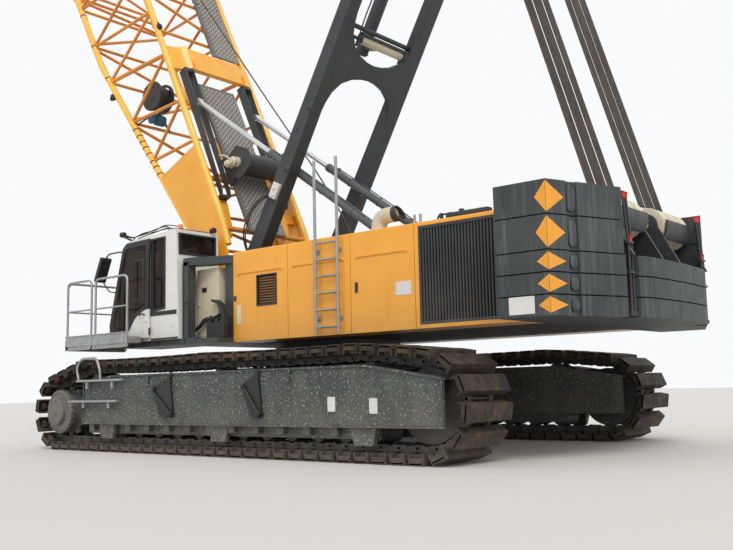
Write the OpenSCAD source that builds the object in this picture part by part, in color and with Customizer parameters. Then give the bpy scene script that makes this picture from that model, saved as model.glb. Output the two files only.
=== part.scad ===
// Crawler crane with a lattice boom, at real size in millimetres.
// +X is forward, +Y is the cab side, +Z is up, and the origin is on the ground under the slewing axis.

/* [Tracks] */
// Distance between the track centre lines
track_gauge = 4900; // [4600:50:5200]
// Width of a track shoe
shoe_w = 1000; // [900:50:1100]
// Distance of the drive sprocket in front of the slewing axis
sprocket_x = 3900; // [3800:10:4000]
// Distance of the idler behind the slewing axis
idler_x = 3850; // [3750:10:3950]
// Outer radius of the track round the sprocket
sprocket_r = 640; // [620:5:660]
// Outer radius of the track round the idler
idler_r = 700; // [680:5:720]
// Thickness of a shoe outside the link pins
shoe_t = 150; // [130:5:160]
// Distance between shoes along the loop
shoe_pitch = 285; // [270:5:300]
// Gap between two shoes
shoe_gap = 45; // [35:5:60]
// Width of the link chain inside the shoes
chain_w = 520; // [480:10:560]
// Thickness of the link chain inside the link pins
chain_t = 80; // [70:5:85]
// Height of the track's top run over the frame
top_run_z = 1500; // [1480:5:1540]
// Sag of the top run between its skids
top_sag = 18; // [10:2:20]
// Number of bottom rollers in each track
roller_count = 13; // [11:1:13]
// Radius of a bottom roller
roller_r = 130; // [120:5:135]

/* [Superstructure] */
// Width over the side enclosures
body_w = 3500; // [3460:10:3540]
// Underside of the superstructure above the ground
body_z = 1707; // [1690:1:1720]
// Top of the side enclosures above the ground
body_top = 3170; // [3120:10:3220]
// Front face of the side enclosures
body_front = 700; // [660:10:720]
// Rear face of the side enclosures
body_rear = 4650; // [4630:5:4670]
// Width of the centre deck between the enclosures
deck_w = 2480; // [2460:5:2500]
// Front end of the radiator grille behind the slewing axis
grille_front = 3040; // [2950:10:3100]
// Outer radius of the hoist drum flanges
drum_flange_r = 500; // [460:10:520]
// Radius of the rope layers on a hoist drum
drum_rope_r = 380; // [340:10:420]

/* [Cab] */
// Outer side of the cab
cab_out = 2150; // [2130:5:2170]
// Inner side of the cab
cab_in = 1240; // [1225:5:1250]
// Floor underside of the cab
cab_z = 1800; // [1790:5:1820]
// Wall thickness of the cab
cab_wall = 60; // [50:5:70]

/* [Counterweight] */
// Half width of the counterweight
cw_half = 2450; // [2400:10:2500]
// Front face behind the slewing axis
cw_front = 4690; // [4680:5:4700]
// Thickness of one upper block
cw_block_t = 416; // [400:4:424]
// Thickness of one full-width slab
cw_slab_t = 257; // [250:1:262]

/* [Boom] */
// Angle of the boom over the ground
boom_angle = 65; // [64:0.5:66]
// Distance from the foot pin to the head sheave axis
boom_len = 18300; // [17800:100:18600]
// Half width between the chord centres
boom_half = 1050; // [1030:5:1055]
// Diameter of a chord tube
chord_d = 125; // [115:5:130]
// Diameter of a lacing tube
lacing_d = 64; // [56:2:72]
// First joint between boom sections, from the foot pin
boom_joint_1 = 8600; // [8400:50:8800]
// Second joint between boom sections, from the foot pin
boom_joint_2 = 12400; // [12200:50:12600]
// Diameter of the foot pin
foot_pin_d = 130; // [110:5:150]

/* [Mast] */
// Outer half width of the mast legs
mast_out = 1070; // [1050:5:1072]
// Width of a mast leg
mast_leg_w = 245; // [235:5:255]
// Diameter of the mast's foot pins
mast_pin_d = 100; // [80:5:110]

/* [Hidden] */
$fn = 48;
eps = 0.01;
// Running clearance of a pin in its bore, on the radius
pin_fit = 0.05;
// Gap between two pieces that rest against each other
seat_gap = 0.3;
// Clearance between moving pieces
run_gap = 10;
// Running clearance of a turning shaft, on the radius
spin_fit = 0.3;

// Colours
yellow = "#f5b73a";
dark_grey = "#4b5557";
frame_grey = "#5a625f";
black = "#22272a";
white = "#e9e8e2";
steel = "#9aa0a0";
cream = "#e6ddbf";
galvanised = "#a7a9a3";

// Track
track_y = track_gauge / 2;
track_in = track_y - shoe_w / 2;
track_out = track_y + shoe_w / 2;
sprocket_z = sprocket_r;
idler_z = idler_r;
skid_top = top_run_z - shoe_t - chain_t;
roller_z = shoe_t + chain_t + roller_r + seat_gap;
frame_top = 1220;
frame_low = 440;
frame_y0 = track_in + 20;
frame_y1 = track_out - 20;

// Superstructure
slew_pin_r = 1000;
deck_top = 1950;
house_in = deck_w / 2;
house_out = body_w / 2;
winch_plate_y = 500;
winch_plate_t = 60;
drum_gap = 15;
drum_half = winch_plate_y - drum_gap;
front_drum = [-1050, 2500];
rear_drum = [-2450, 2500];
luff_drum = [-3800, 2420];
luff_flange_r = 430;
luff_rope_r = 320;

// Pivots, as [x, z]
boom_pin = [1450, 2450];
mast_pin = [1150, 2930];
mast_head = [-3230, 10565];
rope_block = [-5420, 3050];
backstop_pin = [-1620, 3323];
backstop_eye = [2737, 6394];
barrel_d = 146;
backstop_y = mast_out - mast_leg_w - run_gap - barrel_d / 2;

// Boom, in its own frame: x runs from the foot pin to the head, z towards the back
taper_s = boom_joint_2 + 1000;
chord_end = boom_len - 700;
rear_t = [[0, 180], [1500, 360], [taper_s, 360], [chord_end, -250]];
front_t = [[0, -180], [700, -236], [6450, -1450], [9000, -1600], [taper_s, -1600], [chord_end, -900]];
half_y = [[0, boom_half], [taper_s, boom_half], [chord_end, 560]];
function rear_at(s) = lookup(s, rear_t);
function front_at(s) = lookup(s, front_t);
function half_at(s) = lookup(s, half_y);

// Mast, in its own frame: x runs from its foot pin to its head
mast_dx = mast_head[0] - mast_pin[0];
mast_dz = mast_head[1] - mast_pin[1];
mast_len = sqrt(mast_dx * mast_dx + mast_dz * mast_dz);
mast_angle = atan2(mast_dz, mast_dx);
mast_in = mast_out - mast_leg_w;

// Luffing ropes, from the block up to the mast head
rope_dx = mast_head[0] - rope_block[0];
rope_dz = mast_head[1] - rope_block[1];
rope_len = sqrt(rope_dx * rope_dx + rope_dz * rope_dz);
rope_angle = atan2(rope_dz, rope_dx);
rope_groups = [[332, 545], [590, 895], [940, 1195]];
rope_in = rope_groups[0][0];
rope_out = rope_groups[2][1];
head_plates = [rope_groups[0][1] + 4.5, rope_groups[1][1] + 4.5];
head_plate_t = 36;

module both_sides() {
    children();
    mirror([0, 1, 0]) children();
}

// Extrudes an outline drawn in x and z from y0 to y1
module side_profile(y0, y1) {
    translate([0, y1, 0]) rotate([90, 0, 0]) linear_extrude(y1 - y0) children();
}

// A cube given by its two corners
module block(low, high) {
    translate(low) cube(high - low);
}

// A shaft across the crane from y0 to y1 at the point p = [x, z]
module cross_shaft(p, y0, y1, d) {
    translate([p[0], y1, p[1]]) rotate([90, 0, 0]) cylinder(h = y1 - y0, d = d);
}

// A straight tube from p to q
module tube(p, q, d, sides = 8) {
    v = q - p;
    h = norm(v);
    translate(p) rotate([0, acos(v[2] / h), atan2(v[1], v[0])]) cylinder(h = h, d = d, $fn = sides);
}

// A run of straight tubes through a list of points
module tube_run(pts, d, sides = 8) {
    for (i = [0:len(pts) - 2]) {
        tube(pts[i], pts[i + 1], d, sides);
        if (i > 0) translate(pts[i]) sphere(d = d * 1.12, $fn = 16);
    }
}

// Places its children in the boom's own frame
module on_boom() {
    translate([boom_pin[0], 0, boom_pin[1]]) rotate([0, -boom_angle, 0]) children();
}

// Places its children in the mast's own frame
module on_mast() {
    translate([mast_pin[0], 0, mast_pin[1]]) rotate([0, -mast_angle, 0]) children();
}

// Places its children along the luffing ropes
module on_ropes() {
    translate([rope_block[0], 0, rope_block[1]]) rotate([0, -rope_angle, 0]) children();
}

// Tracks

pin_r_front = sprocket_r - shoe_t;
pin_r_rear = idler_r - shoe_t;
skid_x = [3150, 0, -2900];
skid_pin_z = top_run_z - shoe_t;

function arc_pts(cx, cz, r, a0, a1, n) =
    [for (i = [0:n]) let (a = a0 + (a1 - a0) * i / n) [cx + r * cos(a), cz + r * sin(a)]];
function sag_pts(x0, z0, x1, z1, sag, n) =
    [for (i = [1:n]) let (u = i / n) [x0 + (x1 - x0) * u, z0 + (z1 - z0) * u - 4 * sag * u * (1 - u)]];

// The line through the link pins, once round from the bottom at the front
loop = concat(
    arc_pts(sprocket_x, sprocket_z, pin_r_front, -90, 75, 13),
    sag_pts(sprocket_x + pin_r_front * cos(75), sprocket_z + pin_r_front * sin(75),
            skid_x[0], skid_pin_z, 0, 3),
    sag_pts(skid_x[0], skid_pin_z, skid_x[1], skid_pin_z, top_sag, 6),
    sag_pts(skid_x[1], skid_pin_z, skid_x[2], skid_pin_z, top_sag, 6),
    sag_pts(skid_x[2], skid_pin_z, -idler_x + pin_r_rear * cos(96), idler_z + pin_r_rear * sin(96), 0, 3),
    arc_pts(-idler_x, idler_z, pin_r_rear, 102, 270, 13)
);
loop_n = len(loop);
function step_len(i) = norm(loop[(i + 1) % loop_n] - loop[i]);
function run_sum(i) = i == 0 ? 0 : run_sum(i - 1) + step_len(i - 1);
loop_s = [for (i = [0:loop_n]) run_sum(i)];
loop_len = loop_s[loop_n];
loop_x = [for (i = [0:loop_n]) [loop_s[i], loop[i % loop_n][0]]];
loop_z = [for (i = [0:loop_n]) [loop_s[i], loop[i % loop_n][1]]];
shoe_n = round(loop_len / shoe_pitch);
function loop_dir(i) =
    let (v = loop[(i + 1) % loop_n] - loop[(i + loop_n - 1) % loop_n]) v / norm(v);
// The loop moved inwards by d
function loop_inset(d) = [for (i = [0:loop_n - 1]) loop[i] + d * [-loop_dir(i)[1], loop_dir(i)[0]]];

module track_chain() {
    difference() {
        polygon(loop_inset(-8));
        polygon(loop_inset(chain_t));
    }
}

module shoe_outlines() {
    shoe_len = loop_len / shoe_n - shoe_gap;
    for (i = [0:shoe_n - 1]) {
        s = (i + 0.5) * loop_len / shoe_n;
        x = lookup(s, loop_x);
        z = lookup(s, loop_z);
        dx = lookup(s + 60, loop_x) - lookup(s - 60, loop_x);
        dz = lookup(s + 60, loop_z) - lookup(s - 60, loop_z);
        translate([x, z]) rotate(atan2(dz, dx)) polygon([
            [-shoe_len / 2, 0], [-shoe_len / 2 + 12, -shoe_t], [shoe_len / 2 - 12, -shoe_t], [shoe_len / 2, 0]
        ]);
    }
}

module track() {
    color(dark_grey) {
        side_profile(track_y - chain_w / 2, track_y + chain_w / 2) track_chain();
        side_profile(track_in, track_out) shoe_outlines();
    }
}

frame_front = 3080;
frame_rear = 4200;
flange_t = 24;
front_drop = 110;
rear_drop = 190;
module frame_outline() {
    polygon([
        [-frame_rear, frame_low], [frame_front, frame_low], [frame_front, frame_top - flange_t - front_drop],
        [2300, frame_top - flange_t], [-3000, frame_top - flange_t], [-frame_rear, frame_top - flange_t - rear_drop]
    ]);
}

module flange_outline() {
    polygon([
        [frame_front, frame_top - flange_t - front_drop], [frame_front, frame_top - front_drop], [2300, frame_top],
        [-3000, frame_top], [-frame_rear, frame_top - rear_drop], [-frame_rear, frame_top - flange_t - rear_drop],
        [-3000, frame_top - flange_t], [2300, frame_top - flange_t]
    ]);
}

function roller_x(i) = -2950 + i * 5840 / (roller_count - 1);

plate_t = 40;
guard_y = chain_w / 2 + 60;
module track_frame() {
    color(frame_grey) {
        // Side plates with the box between them
        side_profile(frame_y1 - plate_t, frame_y1) frame_outline();
        side_profile(frame_y0, frame_y0 + plate_t) frame_outline();
        block([-3150, frame_y0 + plate_t - eps, 540], [frame_front, frame_y1 - plate_t + eps, 1060]);
        difference() {
            side_profile(frame_y0, track_out) flange_outline();
            // Room for the idler
            block([-frame_rear - 1, track_y - 280, 900], [-3300, track_y + 280, 1300]);
        }
        block([-frame_rear, frame_y1 - eps, frame_low], [frame_front, track_out, frame_low + flange_t]);
        // Wear strips that carry the top run
        for (x = [skid_x[1], skid_x[2]])
            side_profile(track_y - chain_w / 2 + 40, track_y + chain_w / 2 - 40) polygon([
                [x - 90, frame_top - flange_t], [x + 90, frame_top - flange_t], [x + 90, frame_top],
                [x + 25, skid_top - 6], [x - 25, skid_top - 6], [x - 90, frame_top]
            ]);
        // The front one reaches out ahead of the frame
        side_profile(track_y - chain_w / 2 + 40, track_y + chain_w / 2 - 40) polygon([
            [skid_x[0] - 290, 1050], [skid_x[0] - 75, 1050], [skid_x[0] + 90, 1140], [skid_x[0] + 90, 1190],
            [skid_x[0] + 5, skid_top - 6], [skid_x[0] - 40, skid_top - 6], [skid_x[0] - 290, 1190]
        ]);
        // Caps of the bottom rollers' axles and guards of the chain
        for (i = [0:roller_count - 1])
            block([roller_x(i) - 65, frame_y1 - 120, frame_low - 100], [roller_x(i) + 65, frame_y1 - 30, frame_low + eps]);
        for (x = [2446, -252, -2961])
            side_profile(frame_y1 - 90, frame_y1 - 20) polygon([
                [x - 210, frame_low + eps], [x + 210, frame_low + eps], [x + 150, 215], [x - 150, 215]
            ]);
        // Guards that hold the bottom rollers
        for (y = [track_y - guard_y - 40, track_y + guard_y])
            block([-3150, y, roller_z - 70], [frame_front, y + 40, 540 + eps]);
        // Arm of the final drive
        side_profile(frame_y0, frame_y0 + plate_t) {
            translate([sprocket_x, sprocket_z]) circle(r = 300);
            polygon([[frame_front - eps, 500], [sprocket_x, sprocket_z - 300], [sprocket_x, sprocket_z + 300],
                     [frame_front - eps, 1100]]);
        }
        // Idler yoke
        for (y = [track_y - 290, track_y + 250])
            block([-idler_x - 180, y, idler_z - 90], [-3150 + eps, y + 40, idler_z + 90]);
    }
}

module final_drive() {
    color(dark_grey) {
        cross_shaft([sprocket_x, sprocket_z], frame_y0 + plate_t, track_out - 140, 640);
        cross_shaft([sprocket_x, sprocket_z], track_out - 140 - eps, track_out - 70, 730);
        cross_shaft([sprocket_x, sprocket_z], track_out - 70 - eps, track_out + 25, 460);
        for (y = [track_y - 200, track_y + 140])
            side_profile(y, y + 60) {
                translate([sprocket_x, sprocket_z]) circle(r = pin_r_front - chain_t - 50);
                for (i = [0:11])
                    translate([sprocket_x, sprocket_z]) rotate(i * 30) translate([pin_r_front - chain_t - 60, -40])
                        square([50, 80]);
            }
    }
}

module track_wheel_set() {
    color(dark_grey) {
        cross_shaft([-idler_x, idler_z], track_y - 230, track_y + 230, 2 * (pin_r_rear - chain_t - 8));
        cross_shaft([-idler_x, idler_z], track_y - 250, track_y + 250, 140);
        for (i = [0:roller_count - 1]) {
            x = roller_x(i);
            cross_shaft([x, roller_z], track_y - 220, track_y + 220, 2 * roller_r);
            cross_shaft([x, roller_z], track_y - guard_y, track_y + guard_y, 90);
        }
    }
}

module undercarriage_step_set() {
    y0 = frame_y1;
    color(steel) {
        // Handrail loop and step bars at the front
        tube_run([[3150, y0 + 60, 1150], [3215, y0 + 60, 1360], [3085, y0 + 60, 1514], [2640, y0 + 60, 1514],
                  [2535, y0 + 60, 1290], [2535, y0 + 60, 1150]], 42);
        side_profile(y0 + 24, y0 + 100) polygon([[1931, 1125], [3180, 1125], [3180, 1161], [1931, 1161]]);
        side_profile(y0, y0 + 100) polygon([[2050, 790], [3400, 790], [3400, 826], [2050, 826]]);
        for (x = [2200, 2900]) {
            block([x, y0, 1000], [x + 60, y0 + 60, 1085]);
            // The top of each bracket stands outside the frame's flange
            block([x, track_out + 2, 1084], [x + 60, y0 + 60, 1126]);
        }
    }
    color(frame_grey) {
        // Folded support arms
        for (a = [[700, 310, 510], [-1210, 200, 420]]) {
            side_profile(y0, y0 + 45) polygon([
                [a[0], 560], [a[0] + a[1], 560], [a[0] + a[2], 1000], [a[0] + 80, 1175]
            ]);
            cross_shaft([a[0] + 50, 610], y0, y0 + 90, 90);
        }
        for (c = [[-2465, 732], [-3160, 708]]) block([c[0] - 65, y0, c[1] - 96], [c[0] + 65, y0 + 16, c[1] + 96]);
    }
}

module carbody() {
    color(frame_grey) {
        block([-1500, -1150, 620], [1500, 1150, 1300]);
        for (x = [-1250, 1250]) block([x - 330, -frame_y0, 640], [x + 330, frame_y0, 1180]);
        difference() {
            translate([0, 0, 1300 - eps]) cylinder(h = 80 + eps, r = 1200);
            translate([0, 0, 1330]) cylinder(h = 51, r = slew_pin_r + pin_fit);
        }
    }
}

// Superstructure

module slew_ring() {
    color(black) {
        translate([0, 0, 1380 + run_gap]) cylinder(h = body_z - 1380 - run_gap, r = 1060);
        translate([0, 0, 1480]) cylinder(h = 110, r = 1160);
        translate([0, 0, 1342]) cylinder(h = 60, r = slew_pin_r);
    }
}

boom_lug_in = 1080;
boom_lug_t = 50;
bracket_in = boom_lug_in + boom_lug_t + 8;
bracket_t = 60;
pedestal_out = mast_in - 12;
pedestal_t = 170;
module main_deck() {
    color(black) difference() {
        union() {
            block([-body_rear, -house_in, body_z], [2000, house_in, deck_top]);
            both_sides() {
                // Boom foot brackets and their pins
                side_profile(bracket_in, bracket_in + bracket_t) {
                    translate(boom_pin) circle(r = 190);
                    polygon([[1000, deck_top - eps], [1900, deck_top - eps], [1640, 2450], [1260, 2450]]);
                }
                cross_shaft(boom_pin, boom_lug_in - 8, bracket_in + eps, foot_pin_d);
                cross_shaft(boom_pin, boom_lug_in - 30, boom_lug_in - 8 + eps, foot_pin_d + 50);
                // Mast pedestals and their pins
                side_profile(pedestal_out - pedestal_t, pedestal_out) {
                    translate(mast_pin) circle(r = 150);
                    polygon([[850, deck_top - eps], [1350, deck_top - eps], [1290, 2930], [1010, 2930]]);
                }
                cross_shaft(mast_pin, pedestal_out - eps, mast_out, mast_pin_d);
                // Side plates that carry the drums
                block([-4350, winch_plate_y, deck_top - eps], [-350, winch_plate_y + winch_plate_t, 2900]);
                // Backstop pedestals
                block([-1870, winch_plate_y + winch_plate_t - eps, deck_top - eps], [-1370, 900, 3150]);
                for (y = [backstop_y - 90, backstop_y + 62])
                    side_profile(y, y + 28) {
                        translate(backstop_pin) circle(r = 80);
                        polygon([[backstop_pin[0] - 80, 3150 - eps], [backstop_pin[0] + 80, 3150 - eps],
                                 [backstop_pin[0] + 80, backstop_pin[1]], [backstop_pin[0] - 80, backstop_pin[1]]]);
                    }
                cross_shaft(backstop_pin, backstop_y - 90, backstop_y + 90, 60);
            }
            // Cross member behind the mast feet
            block([640, -600, deck_top - eps], [840, 600, 2300]);
            // Beams that carry the counterweight
            both_sides() block([-cw_front, 300, 1760], [-body_rear + eps, 900, 1930]);
        }
        // Bearings of the drums
        for (d = [front_drum, rear_drum, luff_drum])
            cross_shaft(d, -winch_plate_y - winch_plate_t - 1, winch_plate_y + winch_plate_t + 1, 120 + 2 * pin_fit);
    }
}

seam_x = [-537, -1812, -2971];
groove_w = 10;
groove_d = 12;
grille_low = 1760;
grille_high = 3110;
grille_rear = 4560;
grille_depth = 70;
module house(seams) {
    color(yellow) difference() {
        block([-body_rear, house_in, body_z], [body_front, house_out, body_top]);
        for (x = seams)
            block([x - groove_w / 2, house_out - groove_d, body_z - 1], [x + groove_w / 2, house_out + 1, body_top + 1]);
        block([-grille_rear, house_out - grille_depth, grille_low], [-grille_front, house_out + 1, grille_high]);
        // Louvre recess near the front
        block([-300, house_out - 30, 2250], [150, house_out + 1, 2740]);
    }
}

module radiator_grille() {
    rib_n = 24;
    span = grille_rear - grille_front - 80;
    color(black) {
        side_profile(house_out - grille_depth, house_out - 5) difference() {
            translate([-grille_rear + seat_gap, grille_low + seat_gap])
                square([grille_rear - grille_front - 2 * seat_gap, grille_high - grille_low - 2 * seat_gap]);
            translate([-grille_rear + 40, grille_low + 40])
                square([span, grille_high - grille_low - 80]);
        }
        block([-grille_rear + 39, house_out - grille_depth, grille_low + 39],
              [-grille_front - 39, house_out - grille_depth + 15, grille_high - 39]);
        for (i = [0:rib_n - 1]) {
            x = -grille_rear + 40 + (i + 0.5) * span / rib_n;
            block([x - 14, house_out - grille_depth + 14, grille_low + 39], [x + 14, house_out - 12, grille_high - 39]);
        }
    }
}

exhaust_at = [-2170, 1500];
exhaust_d = 230;
module exhaust() {
    color(cream) translate([exhaust_at[0], exhaust_at[1], body_top]) difference() {
        union() {
            cylinder(h = 40, d = exhaust_d + 60);
            tube_run([[0, 0, 20], [0, 0, 136], [-45, 0, 198], [-125, 0, 226], [-470, 0, 232]], exhaust_d, 24);
        }
        // Slanted mouth
        side_profile(-200, 200) polygon([[-560, 60], [-280, 60], [-450, 400], [-560, 400]]);
        tube([-200, 0, 226.5], [-600, 0, 234.6], exhaust_d - 24, 24);
    }
}

ladder_x = [-1180, -1620];
ladder_top = 4350;
module deck_ladder() {
    y = house_out + 60;
    color(galvanised) {
        for (x = ladder_x) {
            tube([x, y, 1730], [x, y, ladder_top], 48, 12);
            for (z = [1950, 2950]) tube([x, house_out, z], [x, y, z], 36);
        }
        for (i = [0:5]) tube([ladder_x[0], y, 1830 + i * 250], [ladder_x[1], y, 1830 + i * 250], 34);
    }
}

module drum(p, flange_r, rope_r) {
    color(black) {
        cross_shaft(p, -drum_half, -drum_half + 40, 2 * flange_r);
        cross_shaft(p, drum_half - 40, drum_half, 2 * flange_r);
        cross_shaft(p, -drum_half + 40 - eps, drum_half - 40 + eps, 2 * rope_r);
        cross_shaft(p, -winch_plate_y - winch_plate_t, winch_plate_y + winch_plate_t, 120);
    }
}

// Counterweight

cw_top = body_top + 114;
cw_block_z = [cw_top - cw_block_t, cw_top - 2 * cw_block_t];
cw_slab_z = [cw_block_z[1] - cw_slab_t, cw_block_z[1] - 2 * cw_slab_t];
cw_tray_z = 1685;
corner_x = 5390;
slot_x = 5908;
slot_y = 1100;
block_in = 1340;
tail_r = 6000;

// Half of the plan outline, for y from y_in outwards
module cw_plan(y_in) {
    polygon([
        [-cw_front, y_in], [-cw_front, cw_half], [-corner_x, cw_half],
        [-slot_x + (slot_x - corner_x) * (max(y_in, slot_y) - slot_y) / (cw_half - slot_y), max(y_in, slot_y)],
        if (y_in < slot_y) [-5960, slot_y - 40],
        if (y_in < slot_y) [-5985, 560],
        if (y_in < slot_y) [-tail_r, y_in]
    ]);
}

module cw_layer(y_in, z0, z1) {
    translate([0, 0, z0]) linear_extrude(z1 - z0) cw_plan(y_in);
}

// Point of the slanted rear side at y
function tail_at(y) = [-corner_x - (cw_half - y) * (slot_x - corner_x) / (cw_half - slot_y), y];

// Recess in the slanted rear side, open at the top of its layer
recess_d = 70;
module tail_recess(z0, z1) {
    a = tail_at(cw_half - 520);
    b = tail_at(cw_half - 250);
    n = [b[1] - a[1], a[0] - b[0]] / norm(b - a);
    both_sides() translate([0, 0, z0]) linear_extrude(z1 - z0)
        polygon([a - 5 * n, b - 5 * n, b + recess_d * n, a + recess_d * n]);
}

module rod_slot(z0, z1) {
    block([-slot_x - 100, slot_y + 20, z0 - 1], [-slot_x + 260, block_in - 20, z1 + 1]);
}

module counterweight_tray() {
    color(dark_grey) difference() {
        both_sides() cw_layer(-eps, cw_tray_z, cw_slab_z[1]);
        both_sides() rod_slot(cw_tray_z, cw_slab_z[1]);
    }
}

module counterweight_slabs() {
    color(dark_grey) difference() {
        both_sides() cw_layer(-eps, cw_slab_z[1], cw_block_z[1]);
        both_sides() rod_slot(cw_slab_z[1], cw_block_z[1]);
        tail_recess(cw_slab_z[1] + 40, cw_slab_z[0] - 6 + eps);
        tail_recess(cw_slab_z[0] + 40, cw_block_z[1] + 1);
        // Joint line between the two slabs
        translate([0, 0, cw_slab_z[0] - 6]) difference() {
            translate([-6100, -2600, 0]) cube([1500, 5200, 12]);
            both_sides() translate([0, 0, -1]) linear_extrude(14) offset(delta = -14) cw_plan(-20);
        }
    }
}

lug_hole_d = 90;
lug_x = 4950;
lug_y = 1750;
module counterweight_blocks() {
    color(dark_grey) difference() {
        both_sides() union() {
            cw_layer(block_in, cw_block_z[0] + 6, cw_top);
            cw_layer(block_in, cw_block_z[1], cw_block_z[0] - 6);
            translate([0, 0, cw_block_z[0] - 10]) linear_extrude(20) offset(delta = -14) cw_plan(block_in);
            // Lifting lug
            side_profile(lug_y - 25, lug_y + 25) {
                translate([-lug_x, cw_top + 70]) circle(r = 90);
                polygon([[-lug_x - 260, cw_top - eps], [-lug_x + 260, cw_top - eps],
                         [-lug_x + 70, cw_top + 120], [-lug_x - 70, cw_top + 120]]);
            }
        }
        both_sides() cross_shaft([-lug_x, cw_top + 70], lug_y - 26, lug_y + 26, lug_hole_d);
        tail_recess(cw_block_z[1] + 60, cw_block_z[0] - 6 + eps);
        tail_recess(cw_block_z[0] + 60, cw_top + 1);
    }
}

// Rope block on the counterweight slabs

sheave_r = 260;
module rope_block_frame() {
    color(black) {
        both_sides() for (y = [rope_in - 60, rope_out + 10]) difference() {
            side_profile(y, y + 50) {
                translate(rope_block) circle(r = 170);
                polygon([[-5900, cw_block_z[1]], [-4900, cw_block_z[1]], rope_block + [160, 0], rope_block - [160, 0]]);
            }
            cross_shaft(rope_block, y - 1, y + 51, 110 + 2 * pin_fit);
        }
        // Cross beam and guard behind the sheaves
        block([-5250, -rope_out - 20, cw_block_z[1]], [-5050, rope_out + 20, cw_block_z[1] + 200]);
        both_sides() side_profile(rope_in - 11, rope_out + 11) difference() {
            translate(rope_block) circle(r = sheave_r + 45);
            translate(rope_block) circle(r = sheave_r + 25);
            translate([rope_block[0] - 230, 2000]) square([1200, 2200]);
            translate([-6400, rope_block[1] + 60]) square([1500, 900]);
        }
    }
}

module rope_block_sheaves() {
    color(cream) both_sides() {
        for (g = rope_groups) cross_shaft(rope_block, g[0] + 4, g[1] - 4, 2 * sheave_r);
        cross_shaft(rope_block, -eps, rope_out + 60, 110);
    }
}

// Cab

cab_rear_low = 1580;
cab_rear_high = 1660;
roof_z = 3640;
cab_front = 3520;
module cab_outline() {
    polygon([
        [cab_rear_low, cab_z], [3300, cab_z], [cab_front, 1990], [cab_front - 10, 2100], [3120, 3480],
        [2990, 3570], [cab_rear_high, roof_z]
    ]);
}

// Height of the roof over the cab at x
function roof_at(x) = roof_z - (x - cab_rear_high) * (roof_z - 3570) / (2990 - cab_rear_high);

module cab_void() {
    offset(delta = -cab_wall) cab_outline();
}

glass_t = 24;
door_x0 = 2330;
module side_window() {
    polygon([[1960, 2340], [2280, 2310], [2280, 3520], [1960, 3530]]);
}

module door_gap() {
    polygon([[door_x0 + 20, 1880], [3280, 1880], [3440, 2050], [3060, 3440], [2950, 3500], [door_x0 + 20, 3520]]);
}

module cab_shell() {
    color(white) difference() {
        side_profile(cab_in, cab_out) cab_outline();
        side_profile(cab_in + cab_wall, cab_out - cab_wall) cab_void();
        side_profile(cab_out - cab_wall - 1, cab_out + 1) {
            side_window();
            door_gap();
        }
        side_profile(cab_in - 1, cab_in + cab_wall + 1) polygon([[1960, 2340], [3250, 2200], [2990, 3440], [1960, 3530]]);
        // Rear window
        block([1500, cab_in + 80, 3230], [1800, cab_out - 60, 3560]);
        // Windscreen and roof window
        side_profile(cab_in + 70, cab_out - 70) polygon([[3400, 2080], [3600, 2080], [3200, 3460], [3000, 3460]]);
        block([2250, cab_in + 250, 3400], [2850, cab_out - 250, 3700]);
    }
}

module cab_glass() {
    g = seat_gap;
    color([0.15, 0.17, 0.18, 0.6]) {
        side_profile(cab_out - cab_wall + 15, cab_out - cab_wall + 15 + glass_t)
            offset(delta = -g) side_window();
        side_profile(cab_in + 15, cab_in + 15 + glass_t)
            offset(delta = -g) polygon([[1960, 2340], [3250, 2200], [2990, 3440], [1960, 3530]]);
        side_profile(cab_in + 70 + g, cab_out - 70 - g) polygon([
            [3464, 2080 + g], [3492, 2080 + g], [3096, 3460 - g], [3068, 3460 - g]
        ]);
        side_profile(cab_in + 80 + g, cab_out - 60 - g) polygon([
            [1655, 3230 + g], [1679, 3230 + g], [1692, 3560 - g], [1668, 3560 - g]
        ]);
        side_profile(cab_in + 250 + g, cab_out - 250 - g) polygon([
            [2250 + g, 3560], [2850 - g, 3531], [2850 - g, 3555], [2250 + g, 3584]
        ]);
    }
}

module door_outline() {
    polygon([[door_x0, 1850], [3250, 1850], [3420, 2010], [3440, 2120], [3070, 3450], [2960, 3530], [door_x0, 3545]]);
}

module door_window() {
    polygon([[door_x0 + 70, 2390], [2700, 2230], [2860, 1990], [3290, 1990], [3360, 2110], [3010, 3400],
             [2930, 3450], [door_x0 + 70, 3465]]);
}

door_y = cab_out + 12;
door_t = 42;
module cab_door() {
    color(white) side_profile(door_y, door_y + door_t) difference() {
        door_outline();
        door_window();
    }
}

module cab_door_glass() {
    color([0.15, 0.17, 0.18, 0.6]) side_profile(door_y + 8, door_y + 8 + glass_t)
        offset(delta = -seat_gap) door_window();
}

module cab_seat() {
    y0 = (cab_in + cab_out) / 2;
    floor_z = cab_z + cab_wall;
    color(black) {
        block([2050, y0 - 180, floor_z], [2450, y0 + 180, floor_z + 300]);
        block([2000, y0 - 250, floor_z + 300 - eps], [2530, y0 + 250, floor_z + 430]);
        side_profile(y0 - 240, y0 + 240) polygon([
            [2000, floor_z + 429], [2130, floor_z + 429], [2050, floor_z + 1080], [1930, floor_z + 1080]
        ]);
        for (y = [y0 - 380, y0 + 280]) block([2050, y, floor_z], [2600, y + 100, floor_z + 560]);
        block([2950, y0 - 150, floor_z], [3150, y0 + 150, floor_z + 650]);
    }
}

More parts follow.
